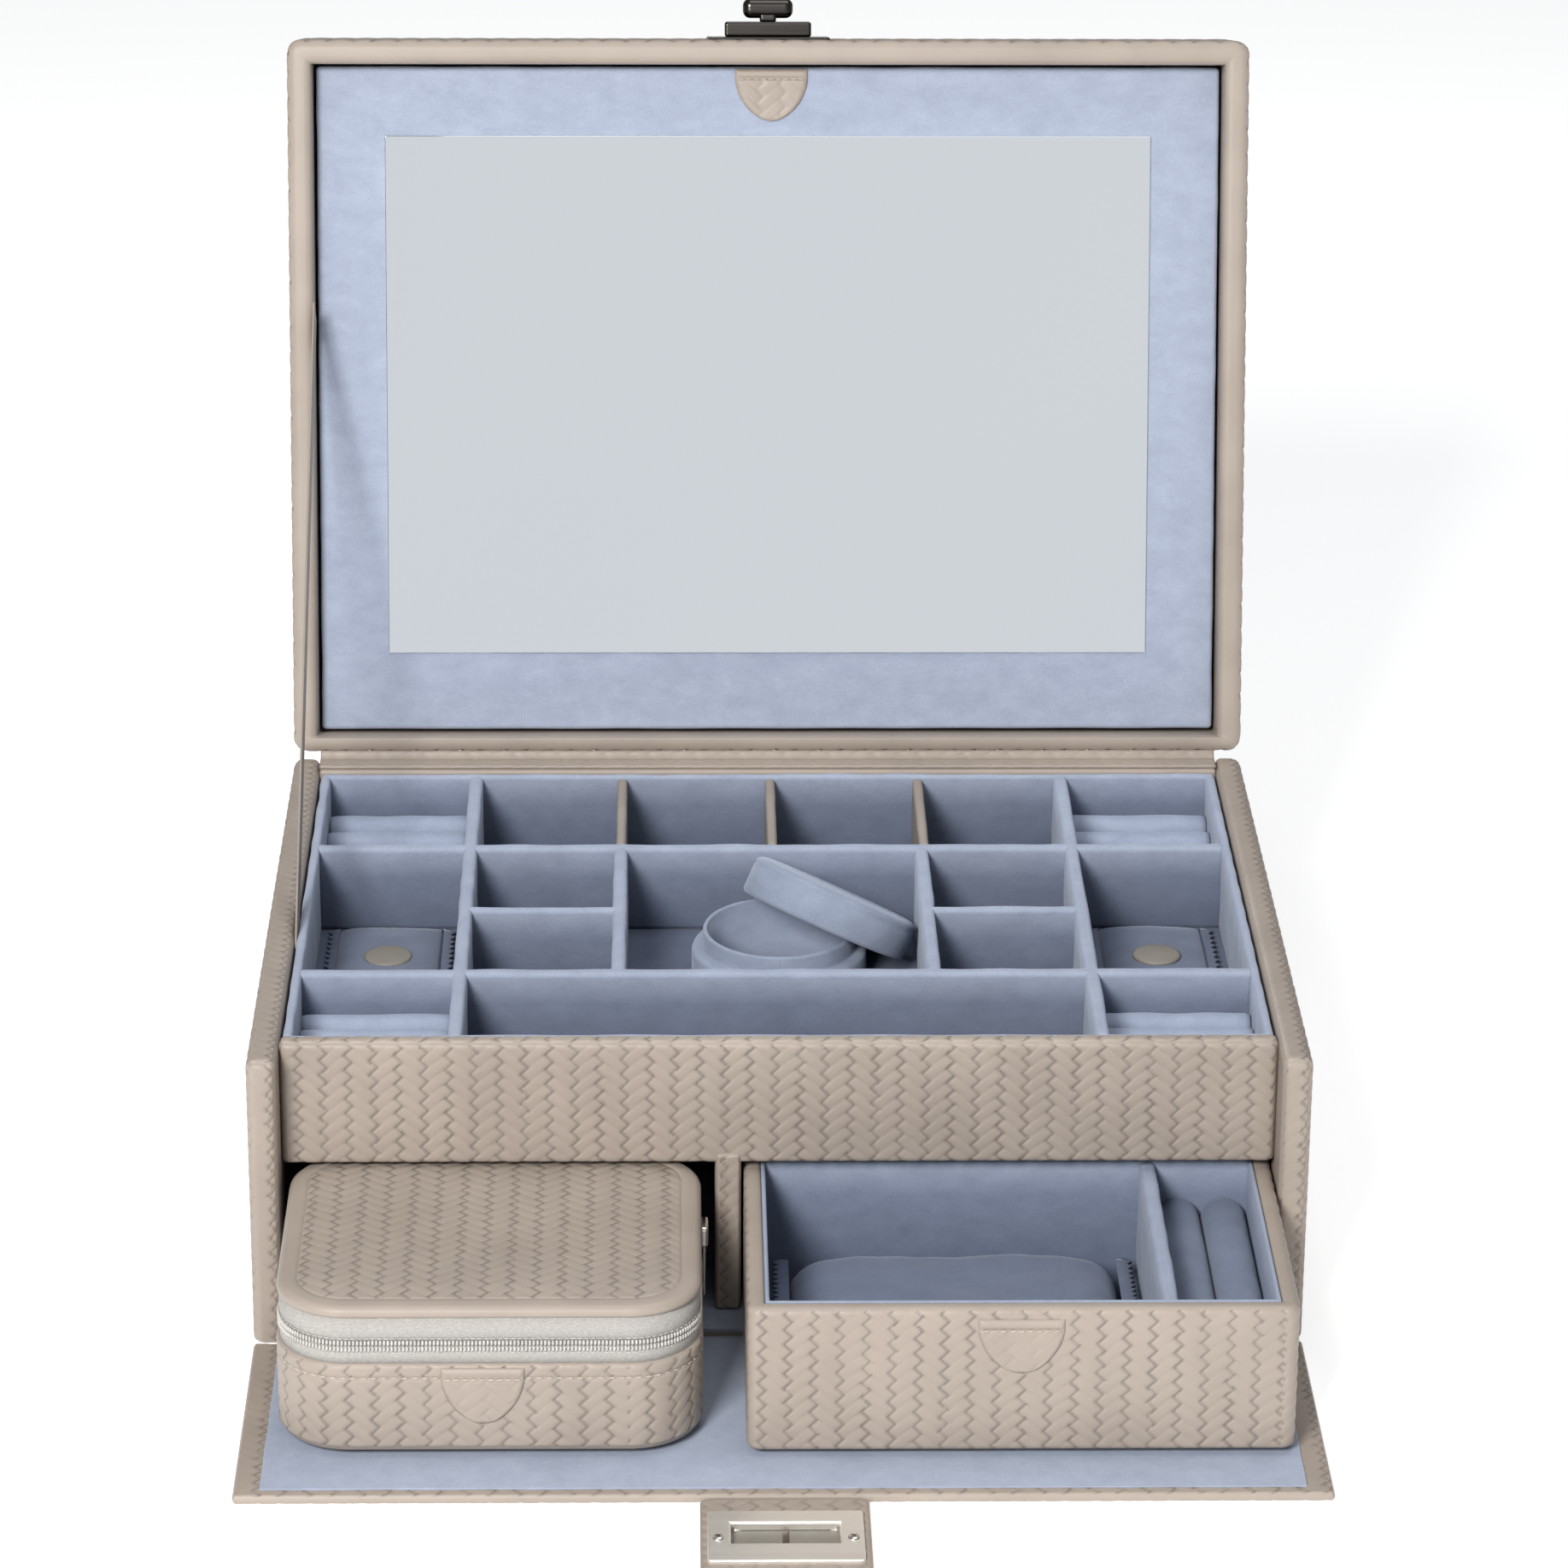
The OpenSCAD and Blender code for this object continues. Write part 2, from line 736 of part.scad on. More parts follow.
pouch_x = (cell_x + outer_cell_x) / 2;
module pouch_left() {
    pouch(-pouch_x);
}

module pouch_right() {
    pouch(pouch_x);
}

// ---------------------------------------------------------------- nodes

bottom_panel();
left_side_wall();
right_side_wall();
rear_wall();
bay_floor_lining();
bay_divider();
bay_back_board();
tray_floor();
tray_front_panel();
tray_lining_walls();
tray_long_dividers();
tray_cross_dividers();
small_cell_dividers();
ring_rolls_rear_left();
ring_rolls_rear_right();
ring_rolls_front_left();
ring_rolls_front_right();
lid_spine();
lid_stay();
flap_spine();
loose_divider_left();
loose_divider_middle();
loose_divider_right();
lid_top_board();
lid_front_wall();
lid_rear_wall();
lid_side_walls();
lid_well_lining();
necklace_bar();
necklace_hooks();
chain_pocket();
lock_plate();
lock_block();
mirror_panel();
mirror_glass();
mirror_tab();
lock_knob();
flap_board();
flap_lining();
tongue();
hasp_frame();
hasp_cover();
hasp_screws();
drawer_body();
drawer_lining();
drawer_partition();
drawer_ring_rolls();
drawer_tab();
drawer_pouch();
travel_base();
travel_lower_zip();
travel_tab();
travel_lid();
travel_upper_zip();
zip_slider();
round_box();
round_box_lid();
pouch_left();
pouch_right();
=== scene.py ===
"""Looks of the table-top jewelry case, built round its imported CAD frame.

Every builder function works in millimetres in the row frame; make() turns them into metres.
Lid pieces are drawn upright, with the hinge axis at the origin, and in_lid() leans them.
"""

import json
import math

import bmesh
import bpy
import numpy as np
from mathutils import Matrix, Vector


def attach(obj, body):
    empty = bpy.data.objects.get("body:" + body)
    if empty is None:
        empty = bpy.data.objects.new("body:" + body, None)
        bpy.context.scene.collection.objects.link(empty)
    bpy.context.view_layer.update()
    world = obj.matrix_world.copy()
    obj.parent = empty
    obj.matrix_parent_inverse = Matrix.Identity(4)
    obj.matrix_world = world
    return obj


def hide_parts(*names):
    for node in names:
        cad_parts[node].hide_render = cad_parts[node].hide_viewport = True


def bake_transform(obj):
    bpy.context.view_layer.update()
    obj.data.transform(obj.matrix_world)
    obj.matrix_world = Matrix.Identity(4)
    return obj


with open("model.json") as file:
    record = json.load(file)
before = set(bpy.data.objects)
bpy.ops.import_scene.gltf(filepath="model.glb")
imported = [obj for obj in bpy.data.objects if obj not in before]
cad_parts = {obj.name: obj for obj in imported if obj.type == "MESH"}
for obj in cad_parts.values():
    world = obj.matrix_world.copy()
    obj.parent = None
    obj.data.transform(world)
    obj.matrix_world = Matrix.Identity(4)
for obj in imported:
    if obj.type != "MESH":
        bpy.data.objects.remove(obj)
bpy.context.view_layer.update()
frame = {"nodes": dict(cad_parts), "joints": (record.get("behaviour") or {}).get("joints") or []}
MM = 0.001

# ---------------------------------------------------------------- places taken from the CAD

LID_LEAN = math.radians(14)
LEAN_C, LEAN_S = math.cos(LID_LEAN), math.sin(LID_LEAN)
lid_joint = next(j for j in frame["joints"] if j["name"] == "lid_hinge")
HINGE_Y, HINGE_Z = lid_joint["pos_m"][1] / MM, lid_joint["pos_m"][2] / MM


def points_of(node):
    """A CAD node's vertices in mm."""
    return np.array([v.co for v in frame["nodes"][node].data.vertices], float) / MM


def box(node):
    """Lowest and highest corner of a CAD node, in mm."""
    p = points_of(node)
    return p.min(0), p.max(0)


def in_lid(p):
    """Leans points that were drawn for an upright lid."""
    x, y, z = p.T
    return np.c_[x, HINGE_Y + y * LEAN_C + z * LEAN_S, HINGE_Z - y * LEAN_S + z * LEAN_C]


def lid_box(node):
    """Lowest and highest corner of a lid node, as drawn for an upright lid."""
    x, y, z = points_of(node).T
    y, z = y - HINGE_Y, z - HINGE_Z
    p = np.c_[x, y * LEAN_C - z * LEAN_S, y * LEAN_S + z * LEAN_C]
    return p.min(0), p.max(0)


def as_drawn(p):
    return p


def centre_of(low, high):
    """Middle of a box's X and Y."""
    return (low[0] + high[0]) / 2, (low[1] + high[1]) / 2


# ---------------------------------------------------------------- materials


def new_material(name):
    mat = bpy.data.materials.new(name)
    mat.use_nodes = True
    nodes = mat.node_tree.nodes
    return mat, mat.node_tree, nodes["Principled BSDF"]


def noise_node(tree, scale, detail=3.0, rough=0.55, stretch=(1, 1, 1)):
    coord = tree.nodes.new("ShaderNodeTexCoord")
    mapping = tree.nodes.new("ShaderNodeMapping")
    mapping.inputs["Scale"].default_value = stretch
    tex = tree.nodes.new("ShaderNodeTexNoise")
    tex.inputs["Scale"].default_value = scale
    tex.inputs["Detail"].default_value = detail
    tex.inputs["Roughness"].default_value = rough
    tree.links.new(coord.outputs["Object"], mapping.inputs["Vector"])
    tree.links.new(mapping.outputs["Vector"], tex.inputs["Vector"])
    return tex


def ramp_node(tree, source, stops):
    ramp = tree.nodes.new("ShaderNodeValToRGB")
    while len(ramp.color_ramp.elements) < len(stops):
        ramp.color_ramp.elements.new(0.5)
    for element, (place, colour) in zip(ramp.color_ramp.elements, stops):
        element.position = place
        element.color = (*colour, 1)
    tree.links.new(source, ramp.inputs["Fac"])
    return ramp


def bump_node(tree, source, strength, distance, under=None):
    bump = tree.nodes.new("ShaderNodeBump")
    bump.inputs["Strength"].default_value = strength
    bump.inputs["Distance"].default_value = distance
    tree.links.new(source, bump.inputs["Height"])
    if under is not None:
        tree.links.new(under.outputs["Normal"], bump.inputs["Normal"])
    return bump


def rough_surface(tree, shader, source, strength, distance, under=None):
    """Bumps the shader's surface by source, over another bump if there is one."""
    bump = bump_node(tree, source.outputs["Fac"], strength, distance, under)
    tree.links.new(bump.outputs["Normal"], shader.inputs["Normal"])


def leather(name, dark, light, roughness=0.5, grain=2200, bump=0.35):
    """Satin leather: fine pebble grain, soft blotches of colour, a slightly varied gloss and painted
    shade in the gaps between braid strips.
    """
    mat, tree, shader = new_material(name)
    blotch = noise_node(tree, 38, 4)
    ramp = ramp_node(tree, blotch.outputs["Fac"], [(0.3, dark), (0.72, light)])
    # Painted shade: where a point's attribute marks a gap between braid strips, the colour darkens
    # towards 0.55 of the dark colour.
    gap = tree.nodes.new("ShaderNodeAttribute")
    gap.attribute_name = "painted_gap_shade"
    shade = tree.nodes.new("ShaderNodeMix")
    shade.data_type = "RGBA"
    shade.inputs["B"].default_value = (*[c * 0.55 for c in dark], 1)
    tree.links.new(gap.outputs["Fac"], shade.inputs["Factor"])
    tree.links.new(ramp.outputs["Color"], shade.inputs["A"])
    tree.links.new(shade.outputs["Result"], shader.inputs["Base Color"])
    fine = noise_node(tree, grain, 2)
    rough = ramp_node(tree, blotch.outputs["Fac"],
        [(0.2, (roughness - 0.06,) * 3), (0.8, (roughness + 0.08,) * 3)])
    tree.links.new(rough.outputs["Color"], shader.inputs["Roughness"])
    rough_surface(tree, shader, fine, bump, 0.00012)
    shader.inputs["Specular IOR Level"].default_value = 0.4
    return mat


def painted_cell_shade(tree, depth, darkest_shade):
    """Painted shade for cells: a bluish grey ramp, darkest at the first height in mm, white at the
    second.
    """
    coord = tree.nodes.new("ShaderNodeTexCoord")
    split = tree.nodes.new("ShaderNodeSeparateXYZ")
    tree.links.new(coord.outputs["Object"], split.inputs["Vector"])
    height = tree.nodes.new("ShaderNodeMapRange")
    height.inputs["From Min"].default_value = depth[0] * MM
    height.inputs["From Max"].default_value = depth[1] * MM
    tree.links.new(split.outputs["Z"], height.inputs["Value"])
    middle = darkest_shade + 0.3 * (1 - darkest_shade)
    return ramp_node(tree, height.outputs["Result"],
                     [(0, (darkest_shade * 0.94, darkest_shade, darkest_shade * 1.16)),
                      (0.65, (middle * 0.96, middle, middle * 1.08)), (1, (1, 1, 1))])


def velvet(name, dark, light, sheen=0.35, depth=None, darkest_shade=0.36):
    """Short pile: brushed patches of lighter and darker nap, fine fibres and a pale sheen.

    With depth, two heights in mm, painted shade darkens the pile towards the lower one, as shade falls
    in a cell.
    """
    mat, tree, shader = new_material(name)
    nap = noise_node(tree, 95, 5, 0.66, (1, 1, 1.6))
    fibre = noise_node(tree, 1700, 2, 0.6)
    mix = tree.nodes.new("ShaderNodeMath")
    mix.operation = "MULTIPLY_ADD"
    mix.inputs[1].default_value = 0.35
    tree.links.new(fibre.outputs["Fac"], mix.inputs[0])
    scaled = tree.nodes.new("ShaderNodeMath")
    scaled.operation = "MULTIPLY"
    scaled.inputs[1].default_value = 0.65
    tree.links.new(nap.outputs["Fac"], scaled.inputs[0])
    tree.links.new(scaled.outputs[0], mix.inputs[2])
    ramp = ramp_node(tree, mix.outputs[0], [(0.34, dark), (0.66, light)])
    if depth is None:
        tree.links.new(ramp.outputs["Color"], shader.inputs["Base Color"])
    else:
        # Painted shade: the pile's colour is multiplied by a bluish grey ramp that darkens towards the
        # lower height.
        deep = painted_cell_shade(tree, depth, darkest_shade)
        tint = tree.nodes.new("ShaderNodeMix")
        tint.data_type = "RGBA"
        tint.blend_type = "MULTIPLY"
        tint.inputs["Factor"].default_value = 1
        tree.links.new(ramp.outputs["Color"], tint.inputs["A"])
        tree.links.new(deep.outputs["Color"], tint.inputs["B"])
        tree.links.new(tint.outputs["Result"], shader.inputs["Base Color"])
    shader.inputs["Roughness"].default_value = 0.95
    shader.inputs["Specular IOR Level"].default_value = 0.15
    shader.inputs["Sheen Weight"].default_value = sheen
    shader.inputs["Sheen Roughness"].default_value = 0.45
    shader.inputs["Sheen Tint"].default_value = (0.80, 0.87, 1.0, 1)
    pile = bump_node(tree, nap.outputs["Fac"], 0.35, 0.0006)
    rough_surface(tree, shader, fibre, 0.5, 0.00025, pile)
    return mat


def metal(name, colour, roughness, scratch=0.06):
    """Plated metal with faint brushed marks."""
    mat, tree, shader = new_material(name)
    marks = noise_node(tree, 500, 2, 0.5, (0.05, 1, 1))
    ramp = ramp_node(tree, marks.outputs["Fac"],
        [(0.3, (roughness,) * 3), (0.7, (roughness + scratch,) * 3)])
    tree.links.new(ramp.outputs["Color"], shader.inputs["Roughness"])
    shader.inputs["Base Color"].default_value = (*colour, 1)
    shader.inputs["Metallic"].default_value = 1
    rough_surface(tree, shader, marks, 0.05, 0.0001)
    return mat


def woven(name, dark, light, scale=900):
    """Fine woven tape or thread."""
    mat, tree, shader = new_material(name)
    weave = noise_node(tree, scale, 2, 0.5, (1, 1, 3))
    ramp = ramp_node(tree, weave.outputs["Fac"], [(0.35, dark), (0.65, light)])
    tree.links.new(ramp.outputs["Color"], shader.inputs["Base Color"])
    shader.inputs["Roughness"].default_value = 0.75
    rough_surface(tree, shader, weave, 0.5, 0.0002)
    return mat


BRAID = leather("braid_leather", (0.282, 0.240, 0.206), (0.326, 0.278, 0.239), 0.46)
PLAIN = leather("plain_leather", (0.235, 0.206, 0.178), (0.276, 0.242, 0.208), 0.5, 1500, 0.6)
VELVET = velvet("velvet", (0.262, 0.298, 0.384), (0.330, 0.371, 0.468))
# Painted shade: these velvets darken towards the lower of two heights in mm, as shade falls in the
# tray's cells, in the drawer and between the ring rolls; the drawer and roll velvets also start a
# little darker.
TRAY_VELVET_PAINTED_SHADE = velvet("tray_velvet", (0.262, 0.298, 0.384), (0.330, 0.371, 0.468), 0.25, (64, 98), 0.30)
DRAWER_VELVET_PAINTED_SHADE = velvet("drawer_velvet", (0.250, 0.287, 0.376), (0.316, 0.358, 0.458), 0.2, (14, 56),
    0.30)
ROLL_VELVET_PAINTED_SHADE = velvet("roll_velvet", (0.240, 0.277, 0.366), (0.306, 0.348, 0.448), 0.2, (60, 84), 0.12)
PALE_VELVET = velvet("pale_velvet", (0.205, 0.240, 0.320), (0.262, 0.300, 0.385), 0.3)
NICKEL = metal("nickel", (0.78, 0.75, 0.70), 0.16)
SATIN_NICKEL = metal("satin_nickel", (0.93, 0.91, 0.86), 0.42)
BLACK_NICKEL = metal("black_nickel", (0.060, 0.056, 0.052), 0.2)
# Painted shade: this dark metal stands for the shade in the screw heads' slots and in the hasp slot's
# notch.
SLOT_SHADE_METAL = metal("dark_metal", (0.16, 0.13, 0.11), 0.35)
TAPE = woven("zip_tape", (0.29, 0.28, 0.265), (0.37, 0.355, 0.34))
COIL = woven("zip_coil", (0.40, 0.385, 0.365), (0.50, 0.485, 0.465), 300)
THREAD = woven("thread", (0.36, 0.32, 0.27), (0.52, 0.47, 0.41), 2000)
DOT = leather("dot_leather", (0.150, 0.138, 0.118), (0.215, 0.200, 0.172), 0.5, 1400)


def mirror_material():
    mat, tree, shader = new_material("mirror")
    haze = noise_node(tree, 3, 2)
    ramp = ramp_node(tree, haze.outputs["Fac"], [(0.3, (0.90, 0.93, 0.96)), (0.7, (0.93, 0.95, 0.97))])
    tree.links.new(ramp.outputs["Color"], shader.inputs["Base Color"])
    shader.inputs["Metallic"].default_value = 1
    shader.inputs["Roughness"].default_value = 0.03
    return mat


MIRROR = mirror_material()

# ---------------------------------------------------------------- mesh helpers


def ease(t):
    t = np.clip(t, 0, 1)
    return t * t * (3 - 2 * t)


BRAID_STRIP = 3.5
BRAID_STRETCH = 1.055


def braid(u, v):
    """Height from 0 to 1 of a diagonal three-over-three braid, at u across and v up."""
    unit = BRAID_STRIP * math.sqrt(2)
    p = (v + u / BRAID_STRETCH) / unit
    q = (v - u / BRAID_STRETCH) / unit
    i, j = np.floor(p), np.floor(q)
    k = np.mod(i - j, 6)
    rising = k < 3
    along = np.where(rising, k + (p - i), 5 - k + (q - j))
    across = np.where(rising, q - j, p - i)
    edge = 0.62 + 0.38 * ease(np.minimum(across, 1 - across) / 0.14)
    end = ease(np.minimum(along, 3 - along) / 0.34)
    arch = 0.62 + 0.38 * np.sin(math.pi * np.clip(along / 3, 0, 1))
    crown = 1 - 0.08 * (2 * across - 1) ** 2
    return edge * end * arch * crown


def painted_gap_shade(height):
    """From 0 on a strip's face to 1 in the gap beside it: how much painted shade the leather gets
    there.
    """
    return 1 - np.clip(height / 0.55, 0, 1)


def wobble(p, size, seed):
    """Smooth noise from about -1 to 1 at points p, with bumps about size mm wide."""
    rng = np.random.default_rng(seed)
    total = np.zeros(len(p))
    for _ in range(7):
        way = rng.normal(size=3)
        way *= rng.uniform(0.5, 1.3) * math.pi / size / np.linalg.norm(way)
        total += np.sin(p @ way + rng.uniform(0, 6.28))
    return total / 3.2


def weld(verts, quads):
    """Joins vertices in the same place, and drops faces that this closes up."""
    _, first, index = np.unique(np.round(verts, 3), axis=0, return_index=True, return_inverse=True)
    quads = index.reshape(-1)[quads]
    keep = [list(dict.fromkeys(q)) for q in quads.tolist()]
    return verts[first], [q for q in keep if len(q) > 2]


def grid_quads(rows, cols, start=0, wrap=False):
    """Quads of a rows by cols grid of vertices that starts at index start."""
    r = np.arange(rows - 1)[:, None]
    c = np.arange(cols if wrap else cols - 1)[None, :]
    a, d = r * cols + c, (r + 1) * cols + c
    b, e = r * cols + (c + 1) % cols, (r + 1) * cols + (c + 1) % cols
    return np.stack([a, b, e, d], -1).reshape(-1, 4) + start


def capped(rings):
    """A closed solid through a list of rings that have as many vertices each."""
    rows, n = len(rings), len(rings[0])
    faces = grid_quads(rows, n, wrap=True).tolist()
    return np.vstack(rings), faces + [list(range(n)), list(range((rows - 1) * n, rows * n))]


def merge(parts):
    """One set of vertices and faces from several."""
    verts, faces, count = [], [], 0
    for v, f in parts:
        verts.append(v[:, :3])
        faces += [[i + count for i in q] for q in (f.tolist() if isinstance(f, np.ndarray) else f)]
        count += len(v)
    return np.vstack(verts), faces


def make(name, shape, mat, body, stands_for=(), smooth=True, place=as_drawn):
    """A mesh piece from (vertices, faces) in mm. It rides on body, or on nothing if body is None."""
    verts, faces = shape
    mesh = bpy.data.meshes.new(name)
    mesh.from_pydata((place(verts[:, :3]) * MM).tolist(), [], faces)
    # A fourth column is the painted shade of the braid's gaps, kept as a point attribute.
    if verts.shape[1] == 4:
        layer = mesh.attributes.new("painted_gap_shade", "FLOAT", "POINT")
        layer.data.foreach_set("value", verts[:, 3].astype(np.float32))
    mesh.polygons.foreach_set("use_smooth", [smooth] * len(mesh.polygons))
    mesh.materials.append(mat)
    mesh.validate()
    obj = bpy.data.objects.new(name, mesh)
    bpy.context.scene.collection.objects.link(obj)
    outward(mesh)
    if body:
        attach(obj, body)
    if stands_for:
        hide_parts(*stands_for)
    return obj


def outward(mesh):
    """Turns every closed shell's faces outwards."""
    bm = bmesh.new()
    bm.from_mesh(mesh)
    bmesh.ops.recalc_face_normals(bm, faces=bm.faces)
    bm.to_mesh(mesh)
    bm.free()


def edge_lines(low, high, r, step):
    """Grid lines from low to high: four in each round edge, and about one per step between."""
    near = [r * (1 - math.tan(math.radians(a))) for a in (45, 34, 22.5, 11.25, 0)]
    gap = min(0.3, (high - low - 2 * r) / 4)
    count = max(1, round((high - low - 2 * (r + gap)) / step))
    middle = np.linspace(low + r + gap, high - r - gap, count + 1)
    return np.array([low + n for n in near] + middle.tolist() + [high - n for n in reversed(near)])


def round_box(low, high, r=1.0, step=6.0, relief=None, soft=0.0, seed=1):
    """A closed box with round edges. relief(side, u, v) gives a height for each side's points,
    and soft is the height of gentle unevenness all over."""
    low, high = np.array(low, float), np.array(high, float)
    r = min(r, (high - low).min() / 2 - 0.01)
    lines = [edge_lines(low[a], high[a], r, step) for a in range(3)]
    verts, quads, count = [], [], 0
    for axis in range(3):
        a, b = [k for k in range(3) if k != axis]
        for top in (0, 1):
            ga, gb = np.meshgrid(lines[a], lines[b], indexing="ij")
            q = np.empty((ga.size, 3))
            q[:, a], q[:, b] = ga.ravel(), gb.ravel()
            q[:, axis] = high[axis] if top else low[axis]
            core = np.clip(q, low + r, high - r)
            out = q - core
            out /= np.linalg.norm(out, axis=1)[:, None]
            p = core + r * out
            # Painted shade of the braid's gaps, zero where a side has no braid.
            shade = np.zeros(len(q))
            if relief:
                rim = np.minimum.reduce([q[:, a] - low[a], high[a] - q[:, a],
                                         q[:, b] - low[b], high[b] - q[:, b]])
                height, shade = relief("xyz"[axis] if not top else "XYZ"[axis], q[:, a], q[:, b])
                p = p + out * (height * ease(rim / 0.8))[:, None]
                shade = shade * ease(rim / 1.2)
            verts.append(np.c_[p, shade])
            quads.append(grid_quads(len(lines[a]), len(lines[b]), count))
            count += len(q)
    verts, faces = weld(np.vstack(verts), np.vstack(quads))
    if soft:
        middle, p = (low + high) / 2, verts[:, :3]
        way = p - np.clip(p, np.minimum(low + r, middle), np.maximum(high - r, middle))
        size = np.linalg.norm(way, axis=1)[:, None]
        verts[:, :3] = p + way / np.maximum(size, 1e-6) * (wobble(p, 9, seed) * soft)[:, None]
    return verts, faces


def braided(sides, height=0.42):
    """A relief for round_box: braid on the named sides, such as "xYZ", and plain on the rest."""

    def relief(side, u, v):
        if side not in sides:
            return np.zeros(len(u)), np.zeros(len(u))
        shape = braid(u, v)
        return height * shape, painted_gap_shade(shape)

    return relief


def round_path(cx, cy, w, d, r, step):
    """Points round a rectangle with round corners, as (core points, outward normals, arc lengths)."""
    core, out, length = [], [], []
    hx, hy = w / 2 - r, d / 2 - r
    s = 0.0
    corners = [(hx, -hy, -90), (hx, hy, 0), (-hx, hy, 90), (-hx, -hy, 180)]
    for n, (kx, ky, start) in enumerate(corners):
        arc = max(3, round(r * math.pi / 2 / step))
        for i in range(arc):
            t = math.radians(start + 90 * i / arc)
            core.append((cx + kx, cy + ky))
            out.append((math.cos(t), math.sin(t)))
            length.append(s + r * math.pi / 2 * i / arc)
        s += r * math.pi / 2
        nx, ny, _ = corners[(n + 1) % 4]
        run = math.hypot(nx - kx, ny - ky)
        count = max(1, round(run / step))
        t = math.radians(start + 90)
        for i in range(count):
            core.append((cx + kx + (nx - kx) * i / count, cy + ky + (ny - ky) * i / count))
            out.append((math.cos(t), math.sin(t)))
            length.append(s + run * i / count)
        s += run
    return np.array(core), np.array(out), np.array(length), r, (cx, cy, w, d)


def arc_profile(profile, step):
    """Adds points to a profile of (offset, height) corners so that none is further than step apart."""
    fine = [profile[0]]
    for a, b in zip(profile, profile[1:]):
        count = max(1, round(math.dist(a, b) / step))
        fine += [(a[0] + (b[0] - a[0]) * i / count, a[1] + (b[1] - a[1]) * i / count)
                 for i in range(1, count + 1)]
    return fine


def band(path, profile, height=0.0, braided_from=None, inset=(1, 1, 1, 1), closed=False,
    cap=False):
    """Sweeps a profile of (offset, level) round a path. Offsets below 0 go inwards, and inset scales
    them at the path's low x, high x, low y and high y sides. Points whose offset is above
    braided_from carry the braid, height mm high."""
    core, out, length, r, (cx, cy, w, d) = path
    n = len(core)
    rows = []
    run = np.concatenate([[0], np.cumsum([math.dist(a, b) for a, b in zip(profile, profile[1:])])])
    for (offset, level), t in zip(profile, run):
        p = core + out * max(r + offset, 0)
        if offset < 0:
            p[:, 0] = np.clip(p[:, 0], cx - w / 2 - offset * inset[0], cx + w / 2 + offset * inset[1])
            p[:, 1] = np.clip(p[:, 1], cy - d / 2 - offset * inset[2], cy + d / 2 + offset * inset[3])
        # Painted shade of the braid's gaps, zero off the braid.
        shade = np.zeros(n)
        if height and offset >= braided_from:
            shape = braid(length, np.full(n, t))
            p = p + out * (height * shape * ease(t / 0.8))[:, None]
            shade = painted_gap_shade(shape) * ease(t / 1.2)
        rows.append(np.c_[p, np.full(n, level), shade])
    verts = np.vstack(rows)
    quads = grid_quads(len(profile), n, wrap=True)
    if closed:
        last = (len(profile) - 1) * n
        c = np.arange(n)
        quads = np.vstack([quads, np.stack([last + c, last + (c + 1) % n, (c + 1) % n, c], -1)])
    faces = quads.tolist()
    if cap:
        faces += [list(range(n)), list(range((len(profile) - 1) * n, len(profile) * n))]
    return verts, faces


def plate(cx, cy, w, d, r, step, level, relief=0.42, crown=0.0):
    """A braided face with round corners that faces up, closed below by its own sunk rim."""
    nx, ny = round(w / step), round(d / step)
    xs, ys = np.linspace(-w / 2, w / 2, nx + 1), np.linspace(-d / 2, d / 2, ny + 1)
    gx, gy = np.meshgrid(xs, ys, indexing="ij")
    p = np.c_[gx.ravel(), gy.ravel()]
    core = np.clip(p, [-w / 2 + r, -d / 2 + r], [w / 2 - r, d / 2 - r])
    away = p - core
    dist = np.linalg.norm(away, axis=1)
    outside = dist > r
    p[outside] = core[outside] + away[outside] * (r / dist[outside])[:, None]
    rim = np.minimum.reduce([w / 2 - np.abs(p[:, 0]), d / 2 - np.abs(p[:, 1])])
    in_corner = (np.abs(core[:, 0]) >= w / 2 - r) & (np.abs(core[:, 1]) >= d / 2 - r)
    rim = np.where(in_corner, np.maximum(r - dist, 0), rim)
    shape = braid(p[:, 0], p[:, 1])
    z = level + relief * shape * ease(rim / 1.2)
    z += crown * ease(rim / 9) - 0.35 * (1 - ease(rim / 0.7))
    # The fourth column is the painted shade of the braid's gaps.
    verts = np.c_[p[:, 0] + cx, p[:, 1] + cy, z, painted_gap_shade(shape) * ease(rim / 1.2)]
    quads = grid_quads(nx + 1, ny + 1)
    quads = quads[~outside[quads].all(axis=1)]
    used, index = np.unique(quads, return_inverse=True)
    return verts[used], index.reshape(-1, 4).tolist()


def beads(points, ways, length, width):
    """A small round-ended bead at each point, length mm along its way and width mm thick."""
    rings, sides = (-0.5, -0.35, 0.0, 0.35, 0.5), 6
    parts = []
    for p, way in zip(points, ways):
        way = np.array(way, float) / np.linalg.norm(way)
        up = np.array([0, 0, 1.0]) if abs(way[2]) < 0.9 else np.array([1.0, 0, 0])
        side = np.cross(way, up)
        side /= np.linalg.norm(side)
        up = np.cross(side, way)
        rows = []
        for t in rings:
            rad = width / 2 * math.sqrt(max(0.08, 1 - (2 * abs(t)) ** 3))
            ang = np.arange(sides) * 2 * math.pi / sides
            ring = np.cos(ang)[:, None] * side + np.sin(ang)[:, None] * up
            rows.append(np.array(p) + way * t * length + rad * ring)
        parts.append(capped(rows))
    return merge(parts)


def lathe(profile, at=(0, 0, 0), turn=None, sides=96):
    """A closed solid of revolution from (radius, height) points, moved to at after a turn."""
    ang = np.arange(sides) * 2 * math.pi / sides
    rows = [np.c_[r * np.cos(ang), r * np.sin(ang), np.full(sides, z)] for r, z in profile]
    verts, faces = capped(rows)
    if turn is not None:
        verts = verts @ turn.T
    return verts + np.array(at, float), faces


